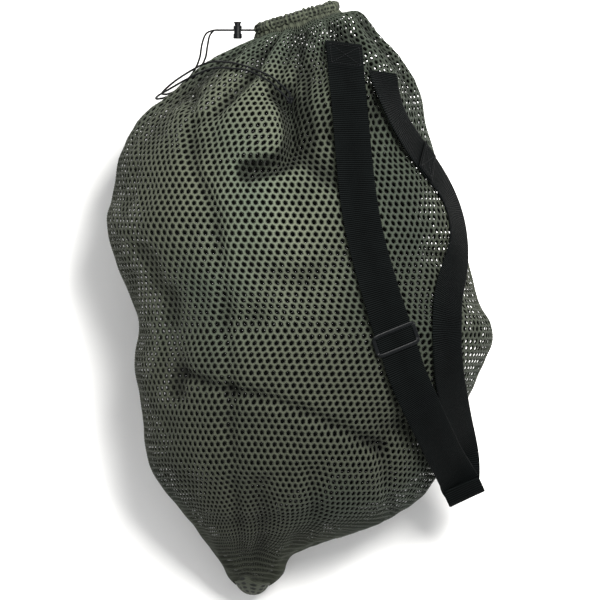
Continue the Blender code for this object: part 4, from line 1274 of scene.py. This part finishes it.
class Ribbon:
    """A flat band along a path, with its own directions along, across and out of its face."""

    def __init__(self, path: np.ndarray, faces: np.ndarray) -> None:
        """Keep the path and a matching row of face directions, squared to the path."""
        self.path = np.asarray(path, dtype=float)
        self.along = unit(np.gradient(self.path, axis=0))
        faces = np.asarray(faces, dtype=float)
        self.face = unit(faces - self.along * np.sum(faces * self.along, axis=1, keepdims=True))
        self.across = np.cross(self.face, self.along)
        self.distance = lengths_along(self.path)
        self.length = float(self.distance[-1])

    def eased(self, step: float = 0.002, reach: int = 7, hold: float = 0.03, straight_at: float = -1.0,
              straight_half: float = 0.0395) -> "Ribbon":
        """Return the band evenly spaced and averaged along itself, but as it was near its ends.

        Args:
            step: the new spacing.
            reach: how many places are averaged on each side, three times over.
            hold: the length at each end that stays.
            straight_at: the middle of a straight stretch that stays too, or a number below any distance.
            straight_half: half the length of that stretch.

        Returns:
            The smoother band.
        """
        distance = np.linspace(0.0, self.length, int(self.length / step))
        place, _, _, face = self.at(distance)
        ends = smooth_step(np.minimum(distance, self.length - distance), 0.3 * hold, hold)
        apart = np.abs(distance - straight_at) / straight_half
        both = np.hstack((place, face))
        for inner, outer, window in ((1.0, 1.4, reach), (0.85, 1.3, 4)):
            share = (ends * smooth_step(apart, inner, outer))[:, None]
            soft = both
            for _ in range(3):
                soft = average_rows(soft, window)
            both = both * (1.0 - share) + soft * share
        return Ribbon(both[:, :3], both[:, 3:])

    def at(self, distance: np.ndarray) -> tuple[np.ndarray, np.ndarray, np.ndarray, np.ndarray]:
        """Return places and the directions along, across and out at distances from the start."""
        tables = (self.path, self.along, self.across, self.face)
        found = [np.stack([np.interp(distance, self.distance, column) for column in table.T], axis=-1)
                 for table in tables]
        return found[0], unit(found[1]), unit(found[2]), unit(found[3])


@dataclass
class StrapRoute:
    """Where the webbing lies: down the front, round a bottom turn and back up the side."""

    form: BagForm
    thickness: float = 0.0016
    clearance: float = 0.0040
    turn_radius: float = 0.011
    gap: float = 0.0004
    slider_length: float = 0.031
    slider_thickness: float = 0.0024
    slider_travel: float = 0.024
    slider_margin: float = 0.0025
    slider_clearance: float = 0.0004
    anchor: tuple = ((0.215, 0.848), (0.228, 0.752))
    front: tuple = ((0.245, 0.640), (0.262, 0.500), (0.290, 0.330), (0.330, 0.190))
    slider_place: tuple = (0.474, -0.126)
    slider_heading: tuple = (0.309, -0.951)
    straight_shares: tuple = (-0.66, -0.5, 0.5, 0.62)
    fall: tuple = ((0.641, -0.386, 0.8242), (0.750, -0.530, 0.6242))
    fall_face: tuple = (0.20, 0.10, 1.0)
    turn_place: tuple = (0.842, -0.640, 0.4545)
    turn_heading: tuple = (0.42, -0.9075, 0.0)
    turn_leads: tuple = (0.014, 0.007)
    rise: tuple = (0.842, -0.500, 0.4424)
    rise_face: tuple = (0.8, 0.0, 1.0)
    rear: tuple = (
        (0.780, -0.345, 0), (0.745, -0.240, 0), (0.735, -0.100, 0), (0.745, 0.030, 0),
        (0.790, 0.125, 0), (0.800, 0.210, 0), (0.770, 0.310, 30), (0.700, 0.400, 48),
        (0.613, 0.468, 60), (0.535, 0.535, 64), (0.472, 0.605, 62), (0.430, 0.678, 56),
        (0.406, 0.752, 50),
    )
    tilt_limit: float = 66.0
    edge_clearance: float = 0.0012
    clearing_rounds: int = 5
    web_width: float = 0.050
    surface: BVHTree = field(init=False)
    hinge: float = field(init=False, default=0.0)
    slider_at: float = field(init=False, default=0.0)

    def __post_init__(self) -> None:
        """Keep a tree of the bag's surface to drop the webbing on."""
        self.surface = self.form.tree()

    def drape(self, place: Sequence[float], lift: float, limit: float = 90.0,
              least: float = 0.0) -> tuple[np.ndarray, np.ndarray]:
        """Return a point lifted off the surface under a plan place, and the direction the webbing faces there."""
        found, normal, _, _ = self.surface.ray_cast(Vector((place[0], place[1], 1.0)), Vector((0.0, 0.0, -1.0)))
        normal = np.array(normal) if normal.z > 0.0 else -np.array(normal)
        face = normal
        lean = math.degrees(math.acos(min(1.0, normal[2])))
        if not least <= lean <= limit:
            held = math.radians(min(max(lean, least), limit))
            level = unit(np.array((normal[0], normal[1], 0.0)))
            face = level * math.sin(held) + np.array((0.0, 0.0, math.cos(held)))
        return np.array(found) + normal * lift, face

    def clear_edges(self, path: np.ndarray, faces: np.ndarray) -> np.ndarray:
        """Return the rear run's path moved out along its faces until the webbing's edges clear the bag."""
        inside = Vector((0.0, 0.0, self.form.depth / 2.0))
        for _ in range(self.clearing_rounds):
            ribbon = Ribbon(path, faces)
            short = np.zeros(len(path))
            for number, place in enumerate(ribbon.path):
                under = place - ribbon.face[number] * self.thickness / 2.0
                for share in (-0.5, -0.25, 0.0, 0.25, 0.5):
                    spot = Vector(under + ribbon.across[number] * share * self.web_width)
                    found, normal, _, _ = self.surface.find_nearest(spot)
                    outward = normal if normal.dot(found - inside) > 0.0 else -normal
                    short[number] = max(short[number], self.edge_clearance - (spot - found).dot(outward))
            widest = np.array([short[max(0, k - 8):k + 9].max() for k in range(len(short))])
            even = np.convolve(np.pad(widest, 6, mode="edge"), np.full(13, 1.0 / 13.0), mode="valid")
            reach = sum(self.turn_leads)
            even = even * np.clip((ribbon.distance - reach) / reach, 0.0, 1.0)
            path = ribbon.path + ribbon.face * even[:, None]
        return path

    def front_run(self) -> Ribbon:
        """Return the front run from the anchor's top to the bottom turn."""
        lift = self.clearance + self.thickness / 2.0
        draped = [self.drape(self.form.plan(shares), lift) for shares in self.anchor + self.front]
        places, faces = [list(column) for column in zip(*draped)]
        hinge = np.array(places[1])
        middle, face = self.drape(self.form.plan(self.slider_place), 0.0)
        heading = unit(np.array((*self.slider_heading, 0.0)))
        heading[2] = -(face[0] * heading[0] + face[1] * heading[1]) / face[2]
        heading = unit(heading)
        under = self.slider_thickness + self.slider_clearance + self.thickness / 2.0
        middle = middle + face * (self.clearance + under)
        straight = self.slider_length + 2.0 * (self.slider_travel + self.slider_margin)
        for share in self.straight_shares:
            places.append(middle + heading * straight * share)
            faces.append(face)
        for shares in self.fall + (self.turn_place,):
            places.append(self.form.over(shares))
            faces.append(unit(np.array(self.fall_face)))
        faces[-1] = np.array((0.0, 0.0, 1.0))
        for reach in self.turn_leads:
            places.insert(-1, places[-1] - np.array(self.turn_heading) * reach)
            faces.insert(-1, faces[-1])
        ribbon = Ribbon(smooth_path(places, 10), smooth_path(faces, 10))
        straight_at = ribbon.distance[np.argmin(np.linalg.norm(ribbon.path - middle, axis=1))]
        ribbon = ribbon.eased(straight_at=straight_at)
        self.hinge = ribbon.distance[np.argmin(np.linalg.norm(ribbon.path - hinge, axis=1))]
        self.slider_at = ribbon.distance[np.argmin(np.linalg.norm(ribbon.path - middle, axis=1))]
        return ribbon

    def rear_run(self) -> Ribbon:
        """Return the rear run from the bottom turn up to its anchor."""
        lift = self.clearance + self.thickness / 2.0
        way = np.array(self.turn_heading)
        start = self.form.over(self.turn_place) - np.array((0.0, 0.0, 2.0 * self.turn_radius))
        places = [start] + [start - way * reach for reach in reversed(self.turn_leads)]
        faces = [np.array((0.0, 0.0, 1.0))] * len(places)
        places.append(self.form.over(self.rise))
        faces.append(unit(np.array(self.rise_face)))
        for *shares, least in self.rear:
            point, face = self.drape(self.form.plan(shares), lift, self.tilt_limit, least)
            places.append(point)
            faces.append(face)
        faces = smooth_path(faces, 8)
        return Ribbon(self.clear_edges(smooth_path(places, 8), faces), faces).eased()

    def whole(self, front: Ribbon, rear: Ribbon) -> Ribbon:
        """Return both runs as one band, joined by the half turn at the bottom.

        The turn is a half circle of the turn's radius that swings from facing up to facing down, so the
        rear run carries on with its face turned over.
        """
        way = np.array(self.turn_heading)
        center = self.form.over(self.turn_place) - np.array((0.0, 0.0, self.turn_radius))
        angle = np.linspace(math.pi / 2.0, -math.pi / 2.0, 17)[1:-1]
        out = way * np.cos(angle)[:, None] + np.array((0.0, 0.0, 1.0)) * np.sin(angle)[:, None]
        path = np.vstack((front.path, center + out * self.turn_radius + way * self.gap, rear.path))
        faces = np.vstack((front.face, out, -rear.face))
        return Ribbon(path, faces)


@dataclass
class Strap:
    """The ribbed webbing, its sewn ends and join patch, and the slider on it."""

    route: StrapRoute
    width: float = 0.050
    thickness: float = 0.0016
    rib: float = 0.0025
    rib_height: float = 0.00022
    patch_share: float = 0.77
    patch_length: float = 0.030
    patch_thickness: float = 0.0018
    layer_gap: float = 0.0010
    thread: float = 0.0008
    stitch: float = 0.0032
    front: Ribbon = field(init=False)
    rear: Ribbon = field(init=False)

    def band(self, name: str, ribbon: Ribbon, start: float, end: float, width: float, low: float,
             high: float) -> bpy.types.Object:
        """Add webbing between two distances and two heights over a ribbon.

        Its section is a flat oval whose edges are round, thicker at the selvages; ribs run across it as
        rib_height x sin(2 pi x distance / rib) on both faces, fading out at the selvages.

        Args:
            name: the piece's name.
            ribbon: the line that it follows.
            start: where it starts along the ribbon.
            end: where it ends.
            width: how wide it is.
            low: its lower face over the ribbon.
            high: its upper face.

        Returns:
            The new object.
        """
        count = int((end - start) / (self.rib / 4.0))
        distance = np.linspace(start, end, count)
        place, _, across, face = ribbon.at(distance)
        side = np.array((1.0, 0.985, 0.93, 0.88, 0.5, 0.0, -0.5, -0.88, -0.93, -0.985, -1.0))
        crown = np.array((0.0, 0.62, 1.0, 1.05, 0.94, 0.94, 0.94, 1.05, 1.0, 0.62, 0.0))
        sideways = np.concatenate((side, side[-2:0:-1])) * width / 2.0
        half = (high - low) / 2.0
        level = np.concatenate((crown, -crown[-2:0:-1])) * half
        face_sign = np.sign(level)
        fade = np.concatenate((crown, crown[-2:0:-1])) > 0.9
        ribs = self.rib_height * np.sin(TURN * distance / self.rib)
        out = (high + low) / 2.0 + level[None, :] + ribs[:, None] * (face_sign * fade)[None, :]
        points = place[:, None, :] + across[:, None, :] * sideways[None, :, None] + face[:, None, :] * out[..., None]
        sides = len(sideways)
        uv = paired(sideways[None, :] / width, distance[:, None] / self.rib)
        tone = np.broadcast_to(0.75 + 0.5 * (np.abs(sideways) / width)[None, :], (count, sides)).copy()
        return add_piece(name, points, grid_faces(count, sides, True), Finish.WEB.material(), uv, tone,
                         ring_caps(count, sides))

    def stitches(self, name: str, ribbon: Ribbon, lines: Sequence, height: float) -> bpy.types.Object:
        """Add rows of stitches over a ribbon.

        Each stitch is a small arch: along it from -1 to 1, its height is 1 - x^2 and its thread is an oval
        that narrows as sqrt(1 - 0.8 x^2).

        Args:
            name: the piece's name.
            ribbon: the band that it is sewn on.
            lines: pairs of (distance, sideways) ends.
            height: the level of the cloth that the thread lies on.

        Returns:
            The new object.
        """
        starts, ends = [], []
        for (s0, w0), (s1, w1) in lines:
            count = max(2, int(math.hypot(s1 - s0, w1 - w0) / self.stitch))
            share = np.arange(count)[:, None] / count
            first, last = np.array((s0, w0)), np.array((s1, w1))
            starts.append(first + (last - first) * (share + 0.12 / count))
            ends.append(first + (last - first) * (share + 0.88 / count))
        begin, finish = np.vstack(starts), np.vstack(ends)
        x = np.linspace(-1.0, 1.0, 5)
        turn = around_once(6)
        middle = (begin[:, None, :] + finish[:, None, :]) / 2.0 + (finish - begin)[:, None, :] / 2.0 * x[None, :, None]
        way = unit(finish - begin)
        thick = self.thread / 2.0 * np.sqrt(1.0 - 0.8 * x**2)
        side = thick[None, :, None] * np.cos(turn)
        flat = middle[:, :, None, :] + np.stack((-way[:, 1], way[:, 0]), axis=-1)[:, None, None, :] * side[..., None]
        up = height + self.thread * 0.15 + 0.0004 * (1.0 - x**2)[None, :, None] + thick[None, :, None] * np.sin(turn)
        place, _, across, face = ribbon.at(flat[..., 0].ravel())
        up = np.broadcast_to(up, flat.shape[:3]).reshape(-1, 1)
        points = place + across * flat[..., 1].reshape(-1, 1) + face * up
        block = len(x) * len(turn)
        one = grid_faces(len(x), len(turn), True)
        faces = (one[None] + block * np.arange(len(begin))[:, None, None]).reshape(-1, 4)
        caps = [[k * block + j for j in ring] for k in range(len(begin))
                for ring in (range(len(turn))[::-1], range(block - len(turn), block))]
        uv = paired(turn[None, None, :] / TURN + np.zeros((len(begin), 1, 1)), x[None, :, None] * 2.0)
        return add_piece(name, points, faces, Finish.THREAD.material(), uv, caps=caps)

    def box_lines(self, start: float, end: float, width: float) -> list:
        """Return the lines of a sewn box with a cross in it."""
        half = width / 2.0
        corners = ((start, -half), (end, -half), (end, half), (start, half))
        sides = [(corners[k], corners[(k + 1) % 4]) for k in range(4)]
        return sides + [(corners[0], corners[2]), (corners[1], corners[3])]

    def build(self) -> None:
        """Add the webbing, its folded top, the patch, all stitching and the slider."""
        self.front, self.rear = self.route.front_run(), self.route.rear_run()
        whole = self.route.whole(self.front, self.rear)
        half = self.thickness / 2.0
        web = self.band("strap_webbing", whole, 0.0, whole.length, self.width, -half, half)
        place, along, _, _ = self.front.at(np.array((self.route.hinge,)))
        start = place[0] - along[0] * 0.004
        end = place[0] + along[0] * 0.050
        dress(web, "", ("strap_front_anchor", "strap_front_run", "strap_bottom_turn", "strap_rear_run",
                                   "strap_rear_anchor"))
        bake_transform(web)
        fold = self.band("strap_folded_end", self.front, 0.0015, self.route.hinge - 0.006, self.width - 0.0010,
                         half + 0.0001, half + 0.0013)
        dress(fold, "bag")
        sewn = self.box_lines(0.006, self.route.hinge - 0.010, 0.040)
        dress(self.stitches("front_anchor_stitches", self.front, sewn, half + 0.0014), "bag",
              ("front_anchor_stitching",))
        patch = self.rear.length * self.patch_share
        patch_end = patch + self.patch_length
        bottom = half + self.layer_gap * 0.4
        top = half + self.layer_gap + self.patch_thickness * 0.5
        piece = self.band("strap_join_layer", self.rear, patch, patch_end, self.width - 0.002, bottom, top)
        dress(piece, "strap", ("strap_join_patch",))
        sewn = self.box_lines(patch + 0.004, patch_end - 0.004, 0.038)
        dress(self.stitches("join_stitches", self.rear, sewn, top), "strap", ("join_patch_stitching",))
        Slider(self.front, self.route.slider_at).build()


@dataclass
class Slider:
    """The three-bar slider: a rounded outer frame over the webbing, and a bar under it."""

    ribbon: Ribbon
    place_at: float
    width: float = 0.060
    length: float = 0.031
    bar: float = 0.0052
    side: float = 0.0044
    thickness: float = 0.0024
    web_thickness: float = 0.0016
    clearance: float = 0.0004

    def rod(self, path: np.ndarray, across: float, up: float, closed: bool, bevel: float = 2.6) -> tuple:
        """Return the points and faces of a bar along a path given across, along and out of the strap.

        The bar's section is the rounded box |x / across|^n + |y / up|^n = 1 with n the bevel.

        Args:
            path: its line, in the slider's own directions.
            across: half its width in plan.
            up: half its thickness.
            closed: whether it joins its own start.
            bevel: how square the section is.

        Returns:
            The points and the quads.
        """
        ahead = np.roll(path, -1, axis=0) - np.roll(path, 1, axis=0) if closed else np.gradient(path, axis=0)
        level = unit(ahead * np.array((1.0, 1.0, 0.0)))
        beside = np.stack((level[:, 1], -level[:, 0], 0.0 * level[:, 0]), axis=-1)
        angle = around_once(20)
        cosine, sine = np.cos(angle), np.sin(angle)
        x = across * rounded(cosine, 2.0 / bevel)
        y = up * rounded(sine, 2.0 / bevel)
        points = path[:, None, :] + beside[:, None, :] * x[None, :, None]
        points[..., 2] += y
        return points, grid_faces(len(path), len(angle), True, closed)

    def build(self) -> None:
        """Add the outer frame and the middle bar as one moulding that rides on the slider's body."""
        place, along, across, face = (found[0] for found in self.ribbon.at(np.array((self.place_at,))))
        level = self.web_thickness / 2.0 + self.clearance + self.thickness / 2.0
        half_x, half_y = (self.width - self.side) / 2.0, (self.length - self.bar) / 2.0
        turn = around_once(120)
        power = 2.0 / 9.0
        x = rounded(np.cos(turn), power) * half_x
        y = rounded(np.sin(turn), power) * half_y
        dip = level * (1.0 - smooth_step(np.abs(x), half_x * 0.965, half_x))
        outline = np.column_stack((x, y, dip))
        outline = resample(np.vstack((outline, outline[:1])), 161)[:-1]
        ring, ring_faces = self.rod(outline, self.bar / 2.0, self.thickness / 2.0, True)
        middle_x = np.linspace(-half_x, half_x, 30)
        low = -level + (level - 0.0006) * smooth_step(np.abs(middle_x), half_x * 0.93, half_x)
        middle, middle_faces = self.rod(np.column_stack((middle_x, 0.0 * middle_x, low)), self.bar / 2.0,
                                        self.thickness / 2.0, False)
        points = np.vstack((ring.reshape(-1, 3), middle.reshape(-1, 3)))
        first = ring.shape[0] * ring.shape[1]
        faces = np.vstack((ring_faces, middle_faces + first))
        world = place + points[:, :1] * across + points[:, 1:2] * along + points[:, 2:3] * face
        piece = add_piece("strap_slider_frame", world, faces, Finish.PLASTIC.material(),
                          caps=ring_caps(middle.shape[0], middle.shape[1], first))
        dress(piece, "slider", ("strap_slider",))


# Studio -----------------------------------------------------------------------------------------------


@dataclass
class Studio:
    """A pale floor, a soft light and a camera straight above."""

    height: float = 10.0
    lens: float = 461.7
    sensor: float = 36.0
    floor_size: float = 12.0
    key_place: tuple = (0.80, 1.05, 2.70)
    key_aim: tuple = (0.0, 0.05, 0.1)
    key_size: float = 1.1
    key_power: float = 200.0
    key_color: tuple = (1.0, 0.99, 0.96)
    sky: float = 0.75

    def camera(self) -> None:
        """Add the camera."""
        data = bpy.data.cameras.new("camera")
        data.lens = self.lens
        data.sensor_width = self.sensor
        data.clip_end = 60.0
        item = bpy.data.objects.new("camera", data)
        bpy.context.collection.objects.link(item)
        item.location = (0.0, 0.0, self.height)
        bpy.context.scene.camera = item

    def light(self) -> None:
        """Add the one square soft light."""
        data = bpy.data.lights.new("key", "AREA")
        data.size = self.key_size
        data.energy = self.key_power
        data.color = self.key_color
        item = bpy.data.objects.new("key", data)
        bpy.context.collection.objects.link(item)
        item.location = self.key_place
        item.rotation_euler = (Vector(self.key_aim) - Vector(self.key_place)).to_track_quat("-Z", "Y").to_euler()

    def build(self) -> None:
        """Add the floor, the light and the pale surroundings."""
        half = self.floor_size / 2.0
        corners = np.array(((-half, -half, 0.0), (half, -half, 0.0), (half, half, 0.0), (-half, half, 0.0)))
        floor = add_piece("studio_floor", corners, np.array(((0, 1, 2, 3),)), Finish.FLOOR.material())
        self.light()
        world = bpy.data.worlds.new("studio")
        world.use_nodes = True
        sky = world.node_tree.nodes["Background"].inputs
        sky["Color"].default_value = (1.0, 1.0, 1.0, 1.0)
        sky["Strength"].default_value = self.sky
        bpy.context.scene.world = world
        bpy.context.scene.view_settings.view_transform = "Standard"


def main() -> None:
    """Build the studio, then the bag piece by piece."""
    logging.basicConfig(level=logging.INFO, format="%(message)s")
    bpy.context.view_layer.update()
    studio = Studio()
    studio.camera()
    form = BagForm()
    mouth = Mouth(form)
    Drawcord(mouth).build()
    CordLock().build()
    mouth.build()
    skin = Skin(form, Relief())
    mouth.collar(skin)
    Net(skin).build()
    Seams(skin).build()
    Strap(StrapRoute(form)).build()
    studio.build()


if __name__ == "__main__":
    main()
